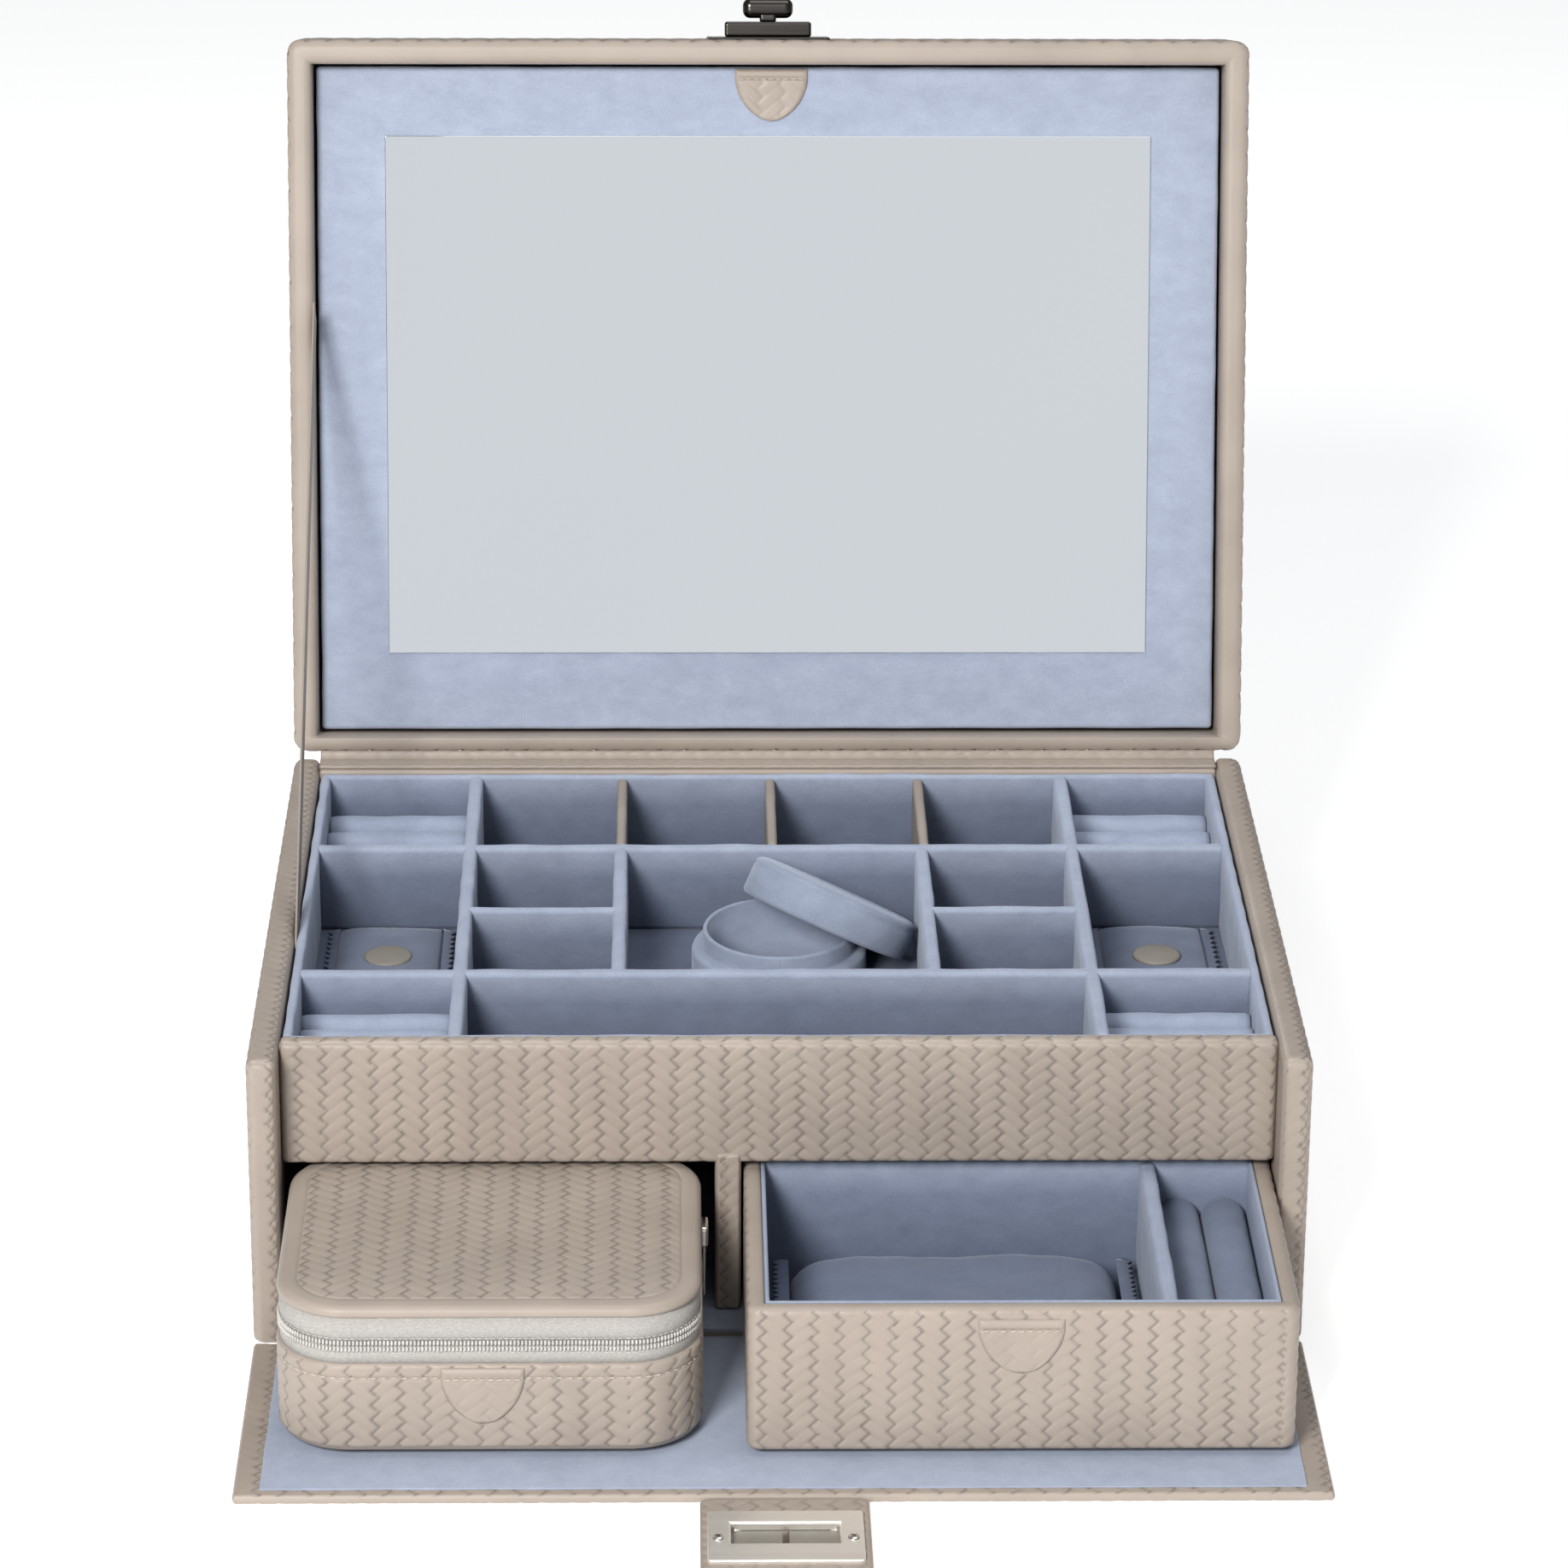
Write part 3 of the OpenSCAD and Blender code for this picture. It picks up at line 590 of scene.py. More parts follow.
def ribbon(line, x0, x1, thick, step, relief=0.0):
    """A strip along X with the (y, z) line as its section, thick mm deep under that line."""
    fine = arc_profile(line, 0.8)
    pts = np.array(fine)
    way = np.gradient(pts, axis=0)
    normal = np.c_[-way[:, 1], way[:, 0]]
    normal /= np.linalg.norm(normal, axis=1)[:, None]
    if normal[:, 1].sum() < 0:
        normal = -normal
    run = np.concatenate([[0], np.cumsum(np.linalg.norm(np.diff(pts, axis=0), axis=1))])
    loop = np.vstack([pts, (pts - normal * thick)[::-1]])
    xs = np.linspace(x0, x1, max(2, round((x1 - x0) / step)))
    rows = []
    for x in xs:
        lift = relief * braid(np.full(len(pts), x), run)
        top = pts + normal * lift[:, None]
        ring = np.vstack([top, loop[len(pts):]])
        rows.append(np.c_[np.full(len(ring), x), ring])
    return capped(rows)


def pillow(low, high, seed, crown=0.5, wrinkle=0.35, step=2.2):
    """A flat stuffed pouch: flat below, crowned above, thin at its seam, with soft dimples."""
    low, high = np.array(low, float), np.array(high, float)
    nx, ny = round((high[0] - low[0]) / step), round((high[1] - low[1]) / step)
    u, v = np.meshgrid(np.linspace(-1, 1, nx + 1), np.linspace(-1, 1, ny + 1), indexing="ij")
    u, v = u.ravel(), v.ravel()
    tall = high[2] - low[2]
    shape = (1 - np.abs(u) ** 8) ** 0.5 * (1 - np.abs(v) ** 8) ** 0.5
    dome = 1 - crown * (0.5 * u**2 + 0.5 * v**2)
    x = low[0] + (u + 1) / 2 * (high[0] - low[0])
    y = low[1] + (v + 1) / 2 * (high[1] - low[1])
    flat = np.c_[x, y, np.zeros(len(x))]
    bump = wrinkle * (wobble(flat, 16, seed) + 0.6 * wobble(flat, 7, seed + 1))
    top = np.c_[x, y, low[2] + 0.5 + (tall - 1.2) * shape * dome + bump * shape]
    bottom = np.c_[x, y, low[2] + 0.5 * (1 - shape)]
    rim = (np.abs(u) > 0.999) | (np.abs(v) > 0.999)
    top[rim, 2] = bottom[rim, 2] = low[2] + 0.5
    quads = grid_quads(nx + 1, ny + 1)
    return weld(np.vstack([top, bottom]), np.vstack([quads, quads + len(top)]))


def roll(low, high, axis, seed):
    """A stuffed ring roll along X (axis 0) or Y (axis 1): round on top, with sags and dimples."""
    low, high = np.array(low, float), np.array(high, float)
    across = 1 - axis
    r = (high[across] - low[across]) / 2
    runs = np.linspace(low[axis], high[axis], max(8, round((high[axis] - low[axis]) / 1.6)))
    angles = np.linspace(0, math.pi, 19)
    arch = [(-r * math.cos(a), high[2] - r + r * math.sin(a) ** 0.9) for a in angles]
    section = [(-r, low[2])] + arch + [(r, low[2])]
    rows = []
    for s in runs:
        end = min(s - low[axis], high[axis] - s)
        tuck = 1 - 0.10 * (1 - ease(end / 2.2))
        row = np.zeros((len(section), 3))
        row[:, axis] = s
        row[:, across] = (low[across] + high[across]) / 2 + np.array([u for u, _ in section]) * tuck
        row[:, 2] = [low[2] + (z - low[2]) * (0.985 if end < 0.1 else 1) for _, z in section]
        rows.append(row)
    verts, faces = capped(rows)
    dimple = wobble(verts, 8, seed) * 0.22 - 0.25
    verts[:, 2] += dimple * (verts[:, 2] > high[2] - r)
    return verts, faces


def pinked(x, way, y0, y1, z, reach, teeth, lift, thick=0.9):
    """A flat seam edge from x to x + way * reach, cut in teeth, between y0 and y1."""
    ys = np.linspace(y0, y1, 2 * teeth + 1)
    tip = np.where(np.arange(len(ys)) % 2 == 1, reach, reach - 2.0)
    rise = lift * np.sin(ys / 9.0)
    rows = []
    for top in (0, 1):
        inner = np.c_[np.full(len(ys), x), ys, np.full(len(ys), z + top * thick)]
        outer = np.c_[x + way * tip, ys, z + top * thick + rise]
        rows += [inner, outer]
    n = len(ys)
    verts = np.vstack(rows)
    c = np.arange(n - 1)
    faces = []
    for a, b in ((0, 1), (1, 3), (3, 2), (2, 0)):
        faces += np.stack([a * n + c, a * n + c + 1, b * n + c + 1, b * n + c], -1).tolist()
    faces += [[0, n, 3 * n, 2 * n], [n - 1, 2 * n - 1, 4 * n - 1, 3 * n - 1]]
    return verts, faces


def shell(front, back, rows, cols):
    """A closed solid between two grids of rows by cols vertices."""
    quads = grid_quads(rows, cols)
    last = cols - 1
    border = list(range(cols)) + [r * cols + last for r in range(1, rows)]
    border += [(rows - 1) * cols + i for i in range(last - 1, -1, -1)]
    border += [r * cols for r in range(rows - 2, 0, -1)]
    faces = np.vstack([quads, quads + len(front)]).tolist()
    faces += [[a, b, b + len(front), a + len(front)] for a, b in zip(border, border[1:] + border[:1])]
    return np.vstack([front, back]), faces


TAB_FOLD, TAB_BRAID = 3.2, 0.35


def tab(cx, back_y, top, w, h, t):
    """A pull tab that hangs from top: a smooth folded strip over a braided, rounded tongue."""
    nx, nz = 44, 40
    depth = np.linspace(0, h, nz + 1)
    drop = np.clip((depth - TAB_FOLD) / (h - TAB_FOLD), 0, 1)
    half = w / 2 * np.maximum(1 - drop**1.8, 0) ** 0.56
    half[-1] = 0.4
    u = np.linspace(-1, 1, nx + 1)
    d, uu = np.meshgrid(depth, u, indexing="ij")
    x = half[:, None] * uu
    edge = np.minimum(half[:, None] * (1 - np.abs(uu)), h - d)
    swell = ease(np.minimum(edge, d) / 1.0)
    face = np.where(d < TAB_FOLD, 0.9 * np.sin(math.pi * np.clip(d / TAB_FOLD, 0, 1)) ** 0.5, 0.75)
    relief = TAB_BRAID * braid(x + cx + 1.5, -d) * (d > TAB_FOLD + 0.8) * ease(edge / 1.4)
    rise = t * 0.35 + t * 0.55 * face * swell + relief
    front = np.c_[(cx + x).ravel(), (back_y - rise).ravel(), (top - d).ravel()]
    back = np.c_[(cx + x).ravel(), np.full(x.size, back_y + 0.25), (top - d).ravel()]
    return shell(front, back, nz + 1, nx + 1)


def tab_stitches(cx, back_y, top, w, t):
    """The row of stitches under a tab's fold."""
    count = 9
    xs = np.linspace(-w / 2 + 2.2, w / 2 - 2.2, count)
    points = [(cx + x, back_y - t * 0.95, top - TAB_FOLD - 0.2) for x in xs]
    return beads(points, [(1, 0, 0.12)] * count, 1.9, 0.55)


def add_tab(name, node, body, stands_for, local=False):
    low, high = lid_box(node) if local else box(node)
    place = in_lid if local else as_drawn
    cx, w, h, t = (low[0] + high[0]) / 2, high[0] - low[0], high[2] - low[2], high[1] - low[1]
    make(name, tab(cx, high[1], high[2], w, h, t), BRAID, body, stands_for,
        place=place)
    make(name + "_stitches", tab_stitches(cx, high[1], high[2], w, t), THREAD, body,
        place=place)


# ---------------------------------------------------------------- case

for side, outer in (("left", "x"), ("right", "X")):
    low, high = box(f"{side}_side_wall")
    shape = round_box(low, high, 2.6, 0.85, braided(outer + "yYZ"))
    make(f"{side}_wall_cover", shape, BRAID, "case", (f"{side}_side_wall",))

low, high = box("rear_wall")
make("rear_wall_cover", round_box(low, high, 1.2, 0.9, braided("Y")), BRAID, "case",
    ("rear_wall",))

low, high = box("tray_front_panel")
make("front_panel_cover", round_box(low, high, 2.3, 0.62, braided("yZ", 0.5)), BRAID, "case",
     ("tray_front_panel",))

low, high = box("bay_divider")
make("bay_post", round_box(low, high, 1.6, 0.9, braided("y")), BRAID, "case",
    ("bay_divider",))


def velvet_strips(name, boxes, node, r=1.7, seed=1):
    shape = merge([round_box(a, b, r, 4.0, soft=0.16, seed=seed + n) for n, (a, b) in enumerate(boxes)])
    return make(name, shape, TRAY_VELVET_PAINTED_SHADE, "case", (node,))


low, high = box("tray_lining_walls")
LINING_T, DIV_T, TUCK = 3.0, 4.6, 1.0
CELL_X, TRAY_Z, TRAY_TOP = high[0] - LINING_T, low[2], high[2]
CELL_FRONT, CELL_REAR = low[1] + LINING_T, high[1] - LINING_T
velvet_strips("tray_lining", [
    (low, (high[0], CELL_FRONT, TRAY_TOP)), ((low[0], CELL_REAR, TRAY_Z), high),
    ((low[0], CELL_FRONT - TUCK, TRAY_Z), (-CELL_X, CELL_REAR + TUCK, TRAY_TOP)),
    ((CELL_X, CELL_FRONT - TUCK, TRAY_Z), (high[0], CELL_REAR + TUCK, TRAY_TOP)),
], "tray_lining_walls", 1.3)

LONG_X = box("tray_long_dividers")[1][0] - DIV_T / 2
cross_low, cross_high = box("tray_cross_dividers")
ROW_FRONT, ROW_REAR = cross_low[1] + DIV_T / 2, cross_high[1] - DIV_T / 2
velvet_strips("long_dividers", [
    ((s * LONG_X - DIV_T / 2, CELL_FRONT - TUCK, TRAY_Z),
    (s * LONG_X + DIV_T / 2, CELL_REAR + TUCK, TRAY_TOP))
    for s in (-1, 1)], "tray_long_dividers")
spans = [(-CELL_X - TUCK, -LONG_X), (-LONG_X, LONG_X), (LONG_X, CELL_X + TUCK)]
velvet_strips("cross_dividers", [
    ((a, y - DIV_T / 2, TRAY_Z), (b, y + DIV_T / 2, TRAY_TOP - 0.1))
    for y in (ROW_FRONT, ROW_REAR) for a, b in spans], "tray_cross_dividers", seed=11)
SMALL_X, SMALL_Y, SMALL_T = LONG_X / 2, -2.8, 3.4
velvet_strips("small_dividers", [
    ((s * SMALL_X - DIV_T / 2, ROW_FRONT, TRAY_Z), (s * SMALL_X + DIV_T / 2, ROW_REAR, TRAY_TOP - 0.2))
    for s in (-1, 1)] + [
    ((min(s * SMALL_X, s * LONG_X), SMALL_Y - SMALL_T / 2, TRAY_Z),
     (max(s * SMALL_X, s * LONG_X), SMALL_Y + SMALL_T / 2, TRAY_TOP - 0.3))
    for s in (-1, 1)], "small_cell_dividers", seed=21)

for name in ("rear_left", "rear_right", "front_left", "front_right"):
    low, high = box(f"ring_rolls_{name}")
    pitch = (high[1] - low[1] + 0.3) / 4
    rolls = []
    for i in range(4):
        y0 = low[1] + i * pitch
        rolls.append(roll((low[0], y0, low[2]), (high[0], y0 + pitch - 0.3, high[2]), 0, 40 + i))
    piece = make(f"ring_rolls_{name}_soft", merge(rolls), ROLL_VELVET_PAINTED_SHADE, "case",
        (f"ring_rolls_{name}",))

for name in ("left", "middle", "right"):
    low, high = box(f"loose_divider_{name}")
    make(f"loose_divider_{name}_cover", round_box(low, high, 1.4, 3, soft=0.08), PLAIN,
        f"divider_{name}",
         (f"loose_divider_{name}",))

low, high = box("lid_spine")
spine_line = [(low[1] - 2.6, low[2] + 0.9), (low[1] + 3, low[2] + 1.1), (low[1] + 4.4, low[2] + 0.7),
              (low[1] + 5.6, low[2] + 1.3), (high[1] - 0.6, high[2] - 0.1)]
spine = make("spine_strip", ribbon(spine_line, low[0], high[0], 0.9, 0.9, 0.3), BRAID, None,
    ("lid_spine",))
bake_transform(spine)

STAY_TOP, STAY_BOTTOM = (-156.95, 161, 250), (-155.88, -27, 90)
STAY_W, STAY_T = 12.0, 0.7


def strap(a, b, w, t):
    """A flat strap on edge from a to b: w wide in the plane that holds Y and Z."""
    a, b = np.array(a, float), np.array(b, float)
    way = b - a
    length = np.linalg.norm(way)
    way /= length
    side = np.cross(way, (1, 0, 0))
    side /= np.linalg.norm(side)
    low, high = np.array([0, -w / 2, 0.0]), np.array([t, w / 2, length])
    verts, faces = round_box(low, high, 0.3, 6)
    return a + verts[:, :1] * np.array([1, 0, 0]) + verts[:, 1:2] * side + verts[:, 2:3] * way, faces


stay = make("stay_strap", strap(STAY_BOTTOM, STAY_TOP, STAY_W, STAY_T), PLAIN, None,
    ("lid_stay",))
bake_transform(stay)

low, high = box("flap_spine")
flap_strip = make("flap_strip", ribbon([(low[1], high[2]), ((low[1] + high[1]) / 2, high[2] + 0.3),
    (high[1], high[2])],
                                       low[0], high[0], 0.6, 4), VELVET, None, ("flap_spine",))
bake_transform(flap_strip)

# ---------------------------------------------------------------- lid

low, high = lid_box("lid_top_board")
well_y = low[1]
LID_WIDTH = high[0] - low[0]
rim_y = lid_box("lid_side_walls")[0][1]
lid_z0, lid_z1 = low[2], high[2]
LID_RIM, LID_REAR_RIM = 8.0, 5.0


def lid_outline(step):
    return round_path(0, (lid_z0 + lid_z1) / 2, LID_WIDTH, lid_z1 - lid_z0, 4.5, step)


def upright(p):
    """Swaps a band's second and third coordinates, so that it stands on the lid's plane."""
    return in_lid(np.c_[p[:, 0], p[:, 2], p[:, 1]])


rim_profile = arc_profile([(0, well_y + 0.2), (0, rim_y + 2.2), (-0.6, rim_y + 0.8), (-2.0, rim_y),
    (-4.0, rim_y - 0.1),
                           (-6.2, rim_y), (-7.5, rim_y + 0.9), (-8.0, rim_y + 2.4), (-8.0,
                           well_y)], 0.9)
rim_shape = band(lid_outline(0.9), rim_profile, 0.42, -0.3, inset=(1, 1, LID_REAR_RIM / LID_RIM, 1))
make("lid_rim_cover", rim_shape, BRAID, "lid",
     ("lid_front_wall", "lid_rear_wall", "lid_side_walls"), place=upright)
back_shape = round_box(low, high, 2.2, 0.9, braided("Y"))
make("lid_back_cover", back_shape, BRAID, "lid", ("lid_top_board",), place=in_lid)

low, high = lid_box("mirror_panel")
make("mirror_board", round_box(low, high, 1.4, 4, soft=0.1), VELVET, "mirror",
    ("mirror_panel",), place=in_lid)
low, high = lid_box("mirror_glass")
make("mirror_sheet", round_box(low, high, 0.35, 30), MIRROR, "mirror", ("mirror_glass",),
    place=in_lid)
add_tab("mirror_pull", "mirror_tab", "mirror", ("mirror_tab",), local=True)

low, high = lid_box("necklace_bar")
make("necklace_rail", round_box(low, high, 2.5, 5, soft=0.1), PLAIN, "lid",
    ("necklace_bar",), place=in_lid)
low, high = lid_box("chain_pocket")


def gathered_pocket(low, high):
    """A pocket front that swells in soft gathers under an elastic top edge."""
    nx, nz = 140, 24
    xs, zs = np.linspace(low[0], high[0], nx + 1), np.linspace(0, 1, nz + 1)
    z, x = np.meshgrid(zs, xs, indexing="ij")
    end = ease(np.minimum(x - low[0], high[0] - x) / 8)
    fold = 1.1 * np.sin(x * 0.55 + 1.3 * np.sin(x * 0.11)) * z**1.5
    belly = (high[1] - low[1] - 3.2) * (0.55 + 0.45 * np.sin(math.pi * np.clip(z * 0.9 + 0.05, 0, 1)))
    y = high[1] - (belly + fold) * end - 0.6
    zz = low[2] + (high[2] - low[2]) * z
    front = np.c_[x.ravel(), y.ravel(), zz.ravel()]
    back = front + np.array([0, 1.3, 0])
    back[:, 1] = np.minimum(back[:, 1], high[1])
    return shell(front, back, nz + 1, nx + 1)


make("chain_pocket_front", gathered_pocket(low, high), VELVET, "lid", ("chain_pocket",),
    place=in_lid)

for node, name, body, r in (("lock_plate", "lock_base", "lid", 0.5),
    ("lock_block", "lock_boss", "lid", 0.9)):
    low, high = lid_box(node)
    make(name, round_box(low, high, r, 5), BLACK_NICKEL, body, (node,), place=in_lid)
low, high = lid_box("lock_knob")
KNOB_BAR, STEM_HALF, STEM_Y = 6.8, 2.9, (21.6, 27.4)
bar = round_box((low[0], low[1], high[2] - KNOB_BAR), high, 2.6, 3)
stem = round_box((-STEM_HALF, STEM_Y[0], high[2] - 8.2), (STEM_HALF, STEM_Y[1], high[2] - 5), 1, 2)
knob = merge([bar, stem])
make("lock_turn_piece", knob, BLACK_NICKEL, "knob", ("lock_knob",), place=in_lid)

# ---------------------------------------------------------------- drop front

low, high = box("flap_board")
make("flap_cover", round_box(low, high, 1.25, 0.95, braided("zZ", 0.22)), BRAID, "drop_front",
    ("flap_board",))
low, high = box("flap_lining")
make("flap_velvet", round_box(low, high, 0.34, 5, soft=0.12), VELVET, "drop_front",
    ("flap_lining",))

low, high = box("tongue")
hasp_low, hasp_high = box("hasp_frame")
SLOT_HALF, SLOT_NEAR, SLOT_FAR = 16.2, -257.7, -245.9
SLOT_MARGIN = 1.0
cx, cy = 0.0, (low[1] + high[1]) / 2
verts, faces = plate(cx, cy, high[0] - low[0], high[1] - low[1], 3.5, 0.6, high[2] - 0.1, 0.32, 0.1)
centre = verts[np.array(faces)].mean(1)
open_slot = ((np.abs(centre[:, 0]) < SLOT_HALF + SLOT_MARGIN)
             & (centre[:, 1] > SLOT_NEAR - SLOT_MARGIN) & (centre[:, 1] < SLOT_FAR + SLOT_MARGIN))
faces = [f for f, o in zip(faces, open_slot) if not o]
make("tongue_braid", (verts, faces), BRAID, "hasp")

hasp_w, hasp_d = hasp_high[0] - hasp_low[0], hasp_high[1] - hasp_low[1]
frame_path = round_path(0, (hasp_low[1] + hasp_high[1]) / 2, hasp_w, hasp_d, 1.2, 1.5)
z0, z1 = hasp_low[2], hasp_high[2]
hasp_profile = [(0, z0), (0, z1 - 0.3), (-0.3, z1), (-1.5, z1 + 0.02), (-6.2, z1 + 0.02),
    (-6.7, z1 - 0.1), (-7, z1 - 0.5), (-7, 0.4), (-6, 0.4), (-6, z0)]
SIDE_RIM, NEAR_RIM, FAR_RIM = 7, 10.8, 7.2
bezel = band(frame_path, hasp_profile, inset=(1, 1, NEAR_RIM / SIDE_RIM, FAR_RIM / SIDE_RIM),
    closed=True)
make("hasp_bezel", bezel, SATIN_NICKEL, "hasp", ("hasp_frame",), smooth=False)
# Painted shade: the leather seen through the slot is drawn in the darker dot leather.
make("slot_floor", merge([round_box((-16.6, -258, 0.35), (16.6, -245.5, 0.8), 0.15, 4)]), DOT, "hasp")
# Painted shade: a dark piece stands for the shade in the slot's notch.
make("slot_notch", round_box((-0.9, -256.5, 0.7), (0.9, -247, 1.4), 0.2, 2), SLOT_SHADE_METAL, "hasp")
SCREW_X, SCREW_Y = 20, -255.0
screws, crosses = [], []
for s in (-1, 1):
    head = [(0.05, z1 + 0.75), (0.9, z1 + 0.7), (1.5, z1 + 0.5), (1.85, z1 + 0.15), (1.9, z1 - 0.1),
            (0.05, z1 - 0.1)]
    screws.append(lathe(head, (s * SCREW_X, SCREW_Y, 0), sides=32))
    for turn in (35, 125):
        t = math.radians(turn)
        crosses.append(beads([(s * SCREW_X, SCREW_Y, z1 + 0.66)], [(math.cos(t), math.sin(t), 0)], 2.2,
        0.5))
make("screw_heads", merge(screws), NICKEL, "hasp", ("hasp_screws",))
# Painted shade: dark crosses stand for the shade in the screws' slots.
make("screw_slots", merge(crosses), SLOT_SHADE_METAL, "hasp")

# ---------------------------------------------------------------- drawer

low, high = box("drawer_body")
z0, z1 = low[2], high[2]
drawer_cx, drawer_cy = centre_of(low, high)
outline = round_path(drawer_cx, drawer_cy, high[0] - low[0], high[1] - low[1], 4.0, 0.62)
profile = arc_profile([(-1.8, z0), (-0.5, z0 + 0.4), (0, z0 + 1.6), (0, z1 - 1.7), (-0.5, z1 - 0.5),
    (-1.7, z1), (-3.4, z1),
                       (-4.6, z1 - 0.4), (-5, z1 - 1.4)], 0.62) + [(-5, z0 + 3.0)]
shape = band(outline, profile, 0.45, -0.3, cap=True)
make("drawer_shell", shape, BRAID, "drawer", ("drawer_body",))

low, high = box("drawer_lining")
outline = round_path(drawer_cx, drawer_cy, high[0] - low[0], high[1] - low[1], 0.8, 3.0)
profile = [(0, low[2]), (0, high[2] - 0.5), (-0.3, high[2] + 0.3), (-1.0, high[2] + 0.4),
    (-1.4, high[2] - 0.4), (-1.4, low[2] + 1.4)]
make("drawer_velvet", band(outline, profile, cap=True), DRAWER_VELVET_PAINTED_SHADE, "drawer",
    ("drawer_lining",))
low, high = box("drawer_partition")
make("drawer_wall", round_box(low - (0, 1, 0), high + (0, 1, 0), 1.9, 4, soft=0.15), DRAWER_VELVET_PAINTED_SHADE,
    "drawer", ("drawer_partition",))
low, high = box("drawer_ring_rolls")
half = (high[0] - low[0]) / 2
rolls = [roll((low[0] + i * half, low[1], low[2]), (low[0] + (i + 1) * half - 0.3, high[1], high[2]), 1,
    60 + i)
         for i in range(2)]
piece = make("drawer_rolls_soft", merge(rolls), DRAWER_VELVET_PAINTED_SHADE, "drawer",
    ("drawer_ring_rolls",))
add_tab("drawer_pull", "drawer_tab", "drawer", ("drawer_tab",))

low, high = box("drawer_pouch")
EDGE = 5.0
pouch_shape = pillow(low + (EDGE, 0, 0), high + (-EDGE, 0, 5), 5, 0.03, 0.45)
pouch = make("drawer_pouch_soft", pouch_shape, DRAWER_VELVET_PAINTED_SHADE, "drawer_pouch",
    ("drawer_pouch",))
pinks = [pinked(low[0] + EDGE + 0.8, -1, low[1] + 1, high[1] - 1, high[2] - 3, EDGE, 26, lift=0.4),
         pinked(high[0] - EDGE - 0.8, 1, low[1] + 1, high[1] - 1, high[2] - 3, EDGE, 26, lift=0.4)]
make("drawer_pouch_edges", merge(pinks), DRAWER_VELVET_PAINTED_SHADE, "drawer_pouch")

# ---------------------------------------------------------------- travel case

low, high = box("travel_base")
z0, z1 = low[2], high[2]
travel_cx, travel_cy = centre_of(low, high)
TRAVEL_W, TRAVEL_D, TRAVEL_R = high[0] - low[0], high[1] - low[1], 22.0
outline = round_path(travel_cx, travel_cy, TRAVEL_W, TRAVEL_D, TRAVEL_R, 0.62)
profile = arc_profile([(-2.6, z0), (-0.8, z0 + 0.6), (0, z0 + 2.4), (0, z1 - 5.6), (-0.25, z1 - 4.9),
    (0, z1 - 4.2), (0, z1 - 1.5),
                       (-0.4, z1 - 0.4), (-1.2, z1)], 0.62) + [(-4, z1), (-4, z0 + 3)]
make("travel_shell", band(outline, profile, 0.45, -0.2, cap=True), BRAID, "travel_case",
    ("travel_base",))
add_tab("travel_pull", "travel_tab", "travel_case", ("travel_tab",))


def path_points(offset, z, pitch):
    """Points and ways at an even pitch round the travel case."""
    core, out, length, r, _ = round_path(travel_cx, travel_cy, TRAVEL_W, TRAVEL_D, TRAVEL_R, 0.4)
    p = core + out * (r + offset)
    p = np.vstack([p, p[:1]])
    run = np.concatenate([[0], np.cumsum(np.linalg.norm(np.diff(p, axis=0), axis=1))])
    s = np.arange(0, run[-1] - pitch / 2, pitch)
    x, y = np.interp(s, run, p[:, 0]), np.interp(s, run, p[:, 1])
    n = np.vstack([out, out[:1]])
    nx, ny = np.interp(s, run, n[:, 0]), np.interp(s, run, n[:, 1])
    return np.c_[x, y, np.full(len(x), z)], np.c_[nx, ny, np.zeros(len(x))]


points, ways = path_points(0.12, z1 - 4.9, 3.1)
sides_way = np.c_[-ways[:, 1], ways[:, 0], ways[:, 2]]
make("travel_stitches", beads(points, sides_way, 2.0, 0.6), THREAD, "travel_case")

seam_z = box("travel_lower_zip")[1][2] + 0.15
COIL_HALF, COIL_PITCH, COIL_OUT = 1.75, 1.15, -0.35
for name, body, way in (("lower_zip", "travel_case", -1), ("upper_zip", "travel_lid", 1)):
    node, top = f"travel_{name}", way > 0
    low, high = box(node)
    level = (seam_z + 0.1, high[2] + 0.4) if top else (low[2] - 0.4, seam_z - 0.1)
    fine = round_path(travel_cx, travel_cy, TRAVEL_W, TRAVEL_D, TRAVEL_R, 1.5)
    tape = [(-1.0, level[0]), (-0.8, level[0]), (-0.5, (level[0] + level[1]) / 2), (-0.8, level[1]),
        (-2.2, level[1]), (-2.2, level[0])]
    make(f"{name}_tape", band(fine, tape, closed=True), TAPE, body, (node,))
    points, ways = path_points(COIL_OUT, seam_z + way * COIL_HALF * 0.56, COIL_PITCH)
    make(f"{name}_coil", beads(points, np.tile((0.0, 0.0, 1.0), (len(points), 1)), COIL_HALF, 0.95),
        COIL, body)
    points, ways = path_points(-0.45, seam_z + way * COIL_HALF * 1.35, 2.0)
    make(f"{name}_sewing", beads(points, np.c_[-ways[:, 1], ways[:, 0], ways[:, 2]], 1.5, 0.4), COIL,
        body)

low, high = box("travel_lid")
z0, z1 = low[2], high[2]
outline = round_path(travel_cx, travel_cy, TRAVEL_W, TRAVEL_D, TRAVEL_R, 1.2)
profile = arc_profile([(-3, z0), (-1.0, z0), (-0.2, z0 + 0.5), (0, z0 + 1.4), (-0.4, z0 + 2.6),
    (-1.6, z0 + 3.6), (-3.6, z1 - 0.25), (-5.4, z1 - 0.2),
                       (-6.6, z1 - 0.9), (-9, z1 - 1.2)], 0.8)
make("travel_lid_border", band(outline, profile, cap=True), BRAID, "travel_lid",
    ("travel_lid",))
top = plate(travel_cx, travel_cy, TRAVEL_W - 11.4, TRAVEL_D - 11.4, TRAVEL_R - 5.7, 0.6, z1 - 0.75,
    0.45, 0.7)
make("travel_lid_top", top, BRAID, "travel_lid")
low, high = box("zip_slider")
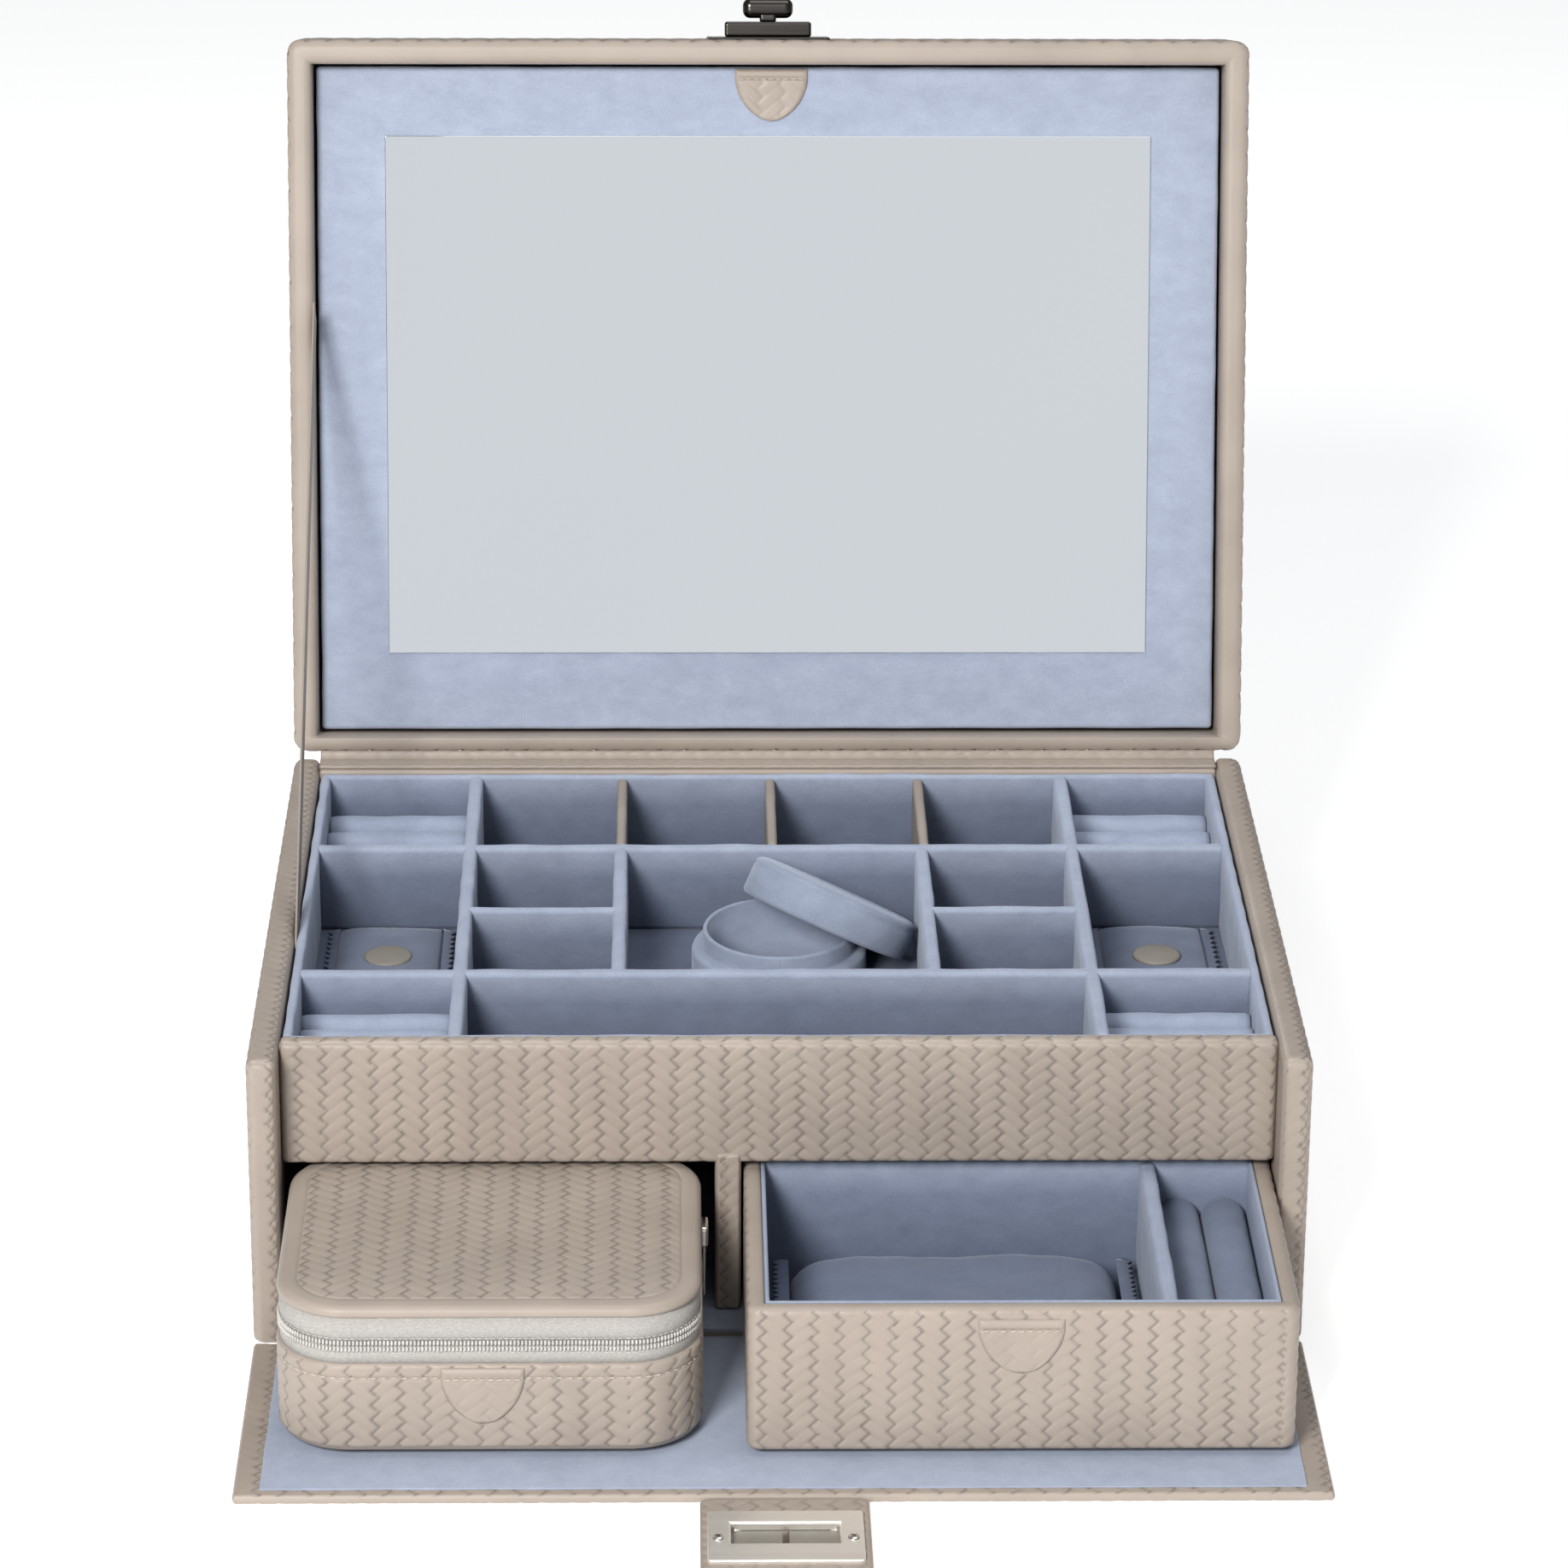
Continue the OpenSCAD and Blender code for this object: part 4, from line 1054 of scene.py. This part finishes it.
slider = merge([round_box((low[0], low[1], high[2] - 6.8), (high[0], high[1], high[2]), 0.9, 2),
                round_box((low[0] + 0.9, low[1] + 2.1, low[2]),
                    (low[0] + 2.0, high[1] - 2.1, high[2] - 5.6), 0.5, 2)])
make("slider_body", slider, NICKEL, "zip_slider", ("zip_slider",))

# ---------------------------------------------------------------- round box and pouches

low, high = box("round_box")
bx, by = centre_of(low, high)
BOX_R = (high[0] - low[0]) / 2
LIP_R, INNER_R, LIP_H = BOX_R - 3.7, BOX_R - 5.2, 6.5
zl, zt = high[2] - LIP_H, high[2]
profile = [(0.1, low[2]), (BOX_R - 1.2, low[2]), (BOX_R - 0.3, low[2] + 0.4), (BOX_R, low[2] + 1.4),
    (BOX_R, zl - 1.4), (BOX_R - 0.4, zl - 0.4),
           (BOX_R - 1.4, zl), (LIP_R + 0.5, zl), (LIP_R + 0.1, zl + 0.3), (LIP_R, zl + 1), (LIP_R,
           zt - 0.7), (LIP_R - 0.3, zt - 0.1), (LIP_R - 0.8, zt), (INNER_R + 0.3, zt - 0.1),
           (INNER_R, zt - 0.6), (INNER_R, low[2] + 2.5), (0.1, low[2] + 2.5)]
make("round_box_body", lathe(profile, (bx, by, 0)), PALE_VELVET, "round_box", ("round_box",))
seam = beads([(bx - 0.5, by - LIP_R - 0.05, (zl + zt) / 2)], [(0, 0, 1)], LIP_H - 0.6, 0.5)
make("round_box_seam", seam, VELVET, "round_box")

LID_TURN, LID_WAY, LID_AT, LID_H = math.radians(30.8), math.radians(37.7), (16.4, 15.2, 82.4), 13.0
turn = np.array(Matrix.Rotation(LID_TURN, 3, Vector((-math.sin(LID_WAY), math.cos(LID_WAY), 0))))
inside = LIP_R + 0.5
profile = [(0.1, LID_H), (BOX_R - 2.4, LID_H), (BOX_R - 0.8, LID_H - 0.5), (BOX_R - 0.1, LID_H - 1.6),
    (BOX_R - 0.35, LID_H - 2.6), (BOX_R, LID_H - 3.4), (BOX_R, 1.1), (BOX_R - 0.4, 0.3),
           (BOX_R - 1.2, 0), (inside + 0.9, 0), (inside + 0.2, 0.3), (inside, 1), (inside, 8), (0.1, 8)]
make("round_lid_cover", lathe(profile, LID_AT, turn), PALE_VELVET, "round_lid",
    ("round_box_lid",))

DOT_FROM_REAR, DOT_SUNK = 33, 1.4
DOT_PROFILE = [(0.1, 0), (7.6, 0), (8, 0.4), (8, 0.9), (7.5, 1.3), (6.6, 1.45), (0.1, 1.6)]
for side, way in (("left", -1), ("right", 1)):
    low, high = box(f"pouch_{side}")
    edge = 4.0
    inner_low, inner_high = low + (edge, 0, 0), high - (edge, 0, 0)
    piece = make(f"pouch_{side}_soft", pillow(inner_low, inner_high, 7 + way, 0.45, 0.4), TRAY_VELVET_PAINTED_SHADE,
        f"pouch_{side}", (f"pouch_{side}",))
    outer = inner_low[0] + 0.8 if way < 0 else inner_high[0] - 0.8
    edges = [pinked(outer, way, low[1] + 1, high[1] - 1, low[2] + 1, edge, 22, lift=0.3)]
    inner = inner_high[0] - 0.8 if way < 0 else inner_low[0] + 0.8
    edges.append(pinked(inner, -way, low[1] + 1, high[1] - 1, low[2] + 1, edge, 22, lift=0.3))
    make(f"pouch_{side}_edges", merge(edges), TRAY_VELVET_PAINTED_SHADE, f"pouch_{side}")
    dot_at = (centre_of(low, high)[0], high[1] - DOT_FROM_REAR, high[2] - DOT_SUNK)
    dot = lathe(DOT_PROFILE, dot_at, sides=48)
    make(f"pouch_{side}_dot", dot, DOT, f"pouch_{side}")

# ---------------------------------------------------------------- CAD nodes that stay

for node, mat in (("bottom_panel", PLAIN), ("bay_floor_lining", VELVET), ("bay_back_board", VELVET),
    ("tray_floor", TRAY_VELVET_PAINTED_SHADE),
                  ("lid_well_lining", VELVET), ("necklace_hooks", NICKEL), ("hasp_cover",
                  NICKEL), ("tongue", PLAIN)):
    frame["nodes"][node].data.materials.clear()
    frame["nodes"][node].data.materials.append(mat)

# ---------------------------------------------------------------- camera, floor and light

scene = bpy.context.scene
CAMERA_AT = Vector((-0.0326, -1.73436, 0.84552))
PITCH, YAW, ROLL = math.radians(22.15), math.radians(1.18), math.radians(0.39)
SENSOR_MM, LENS_MM = 36, 131.616
ahead = Vector((math.sin(YAW) * math.cos(PITCH), math.cos(YAW) * math.cos(PITCH), -math.sin(PITCH)))
right = Vector((math.cos(YAW), -math.sin(YAW), 0))
up = right.cross(ahead)
right, up = (math.cos(ROLL) * right + math.sin(ROLL) * up,
             -math.sin(ROLL) * right + math.cos(ROLL) * up)
camera = bpy.data.objects.new("camera", bpy.data.cameras.new("camera"))
scene.collection.objects.link(camera)
camera.data.sensor_width = SENSOR_MM
camera.data.lens = LENS_MM
turned = Matrix((right, up, -ahead)).transposed().to_4x4()
camera.matrix_world = Matrix.Translation(CAMERA_AT) @ turned
scene.camera = camera

floor_mesh = bpy.data.meshes.new("floor")
floor_mesh.from_pydata([(-6, -6, 0), (6, -6, 0), (6, 6, 0), (-6, 6, 0)], [], [(0, 1, 2, 3)])
floor = bpy.data.objects.new("floor", floor_mesh)
scene.collection.objects.link(floor)
floor_mat, _, shader = new_material("floor")
shader.inputs["Base Color"].default_value = (0.92, 0.92, 0.92, 1)
shader.inputs["Roughness"].default_value = 0.9
shader.inputs["Specular IOR Level"].default_value = 0.1
shader.inputs["Emission Color"].default_value = (1, 1, 1, 1)
shader.inputs["Emission Strength"].default_value = 0.44
floor_mesh.materials.append(floor_mat)

world = bpy.data.worlds.new("world")
scene.world = world
world.use_nodes = True
world.node_tree.nodes["Background"].inputs["Color"].default_value = (0.93, 0.96, 1.0, 1)
world.node_tree.nodes["Background"].inputs["Strength"].default_value = 0.28


def area_light(name, at, target, size, power, colour=(1, 1, 1)):
    data = bpy.data.lights.new(name, "AREA")
    data.size = size
    data.energy = power
    data.color = colour
    light = bpy.data.objects.new(name, data)
    scene.collection.objects.link(light)
    light.location = at
    light.rotation_euler = (Vector(target) - Vector(at)).to_track_quat("-Z", "Y").to_euler()


area_light("key", (-0.7, -1.9, 1.35), (0, 0, 0.05), 0.6, 63, (1.0, 0.98, 0.95))
area_light("top", (0.4, 0.0, 2.0), (0, 0, 0), 1.2, 14)
area_light("front_card", (0, -3.0, 0.75), (0, 0, 0.3), 3.2, 14, (0.95, 0.97, 1.0))
scene.view_settings.view_transform = "Standard"
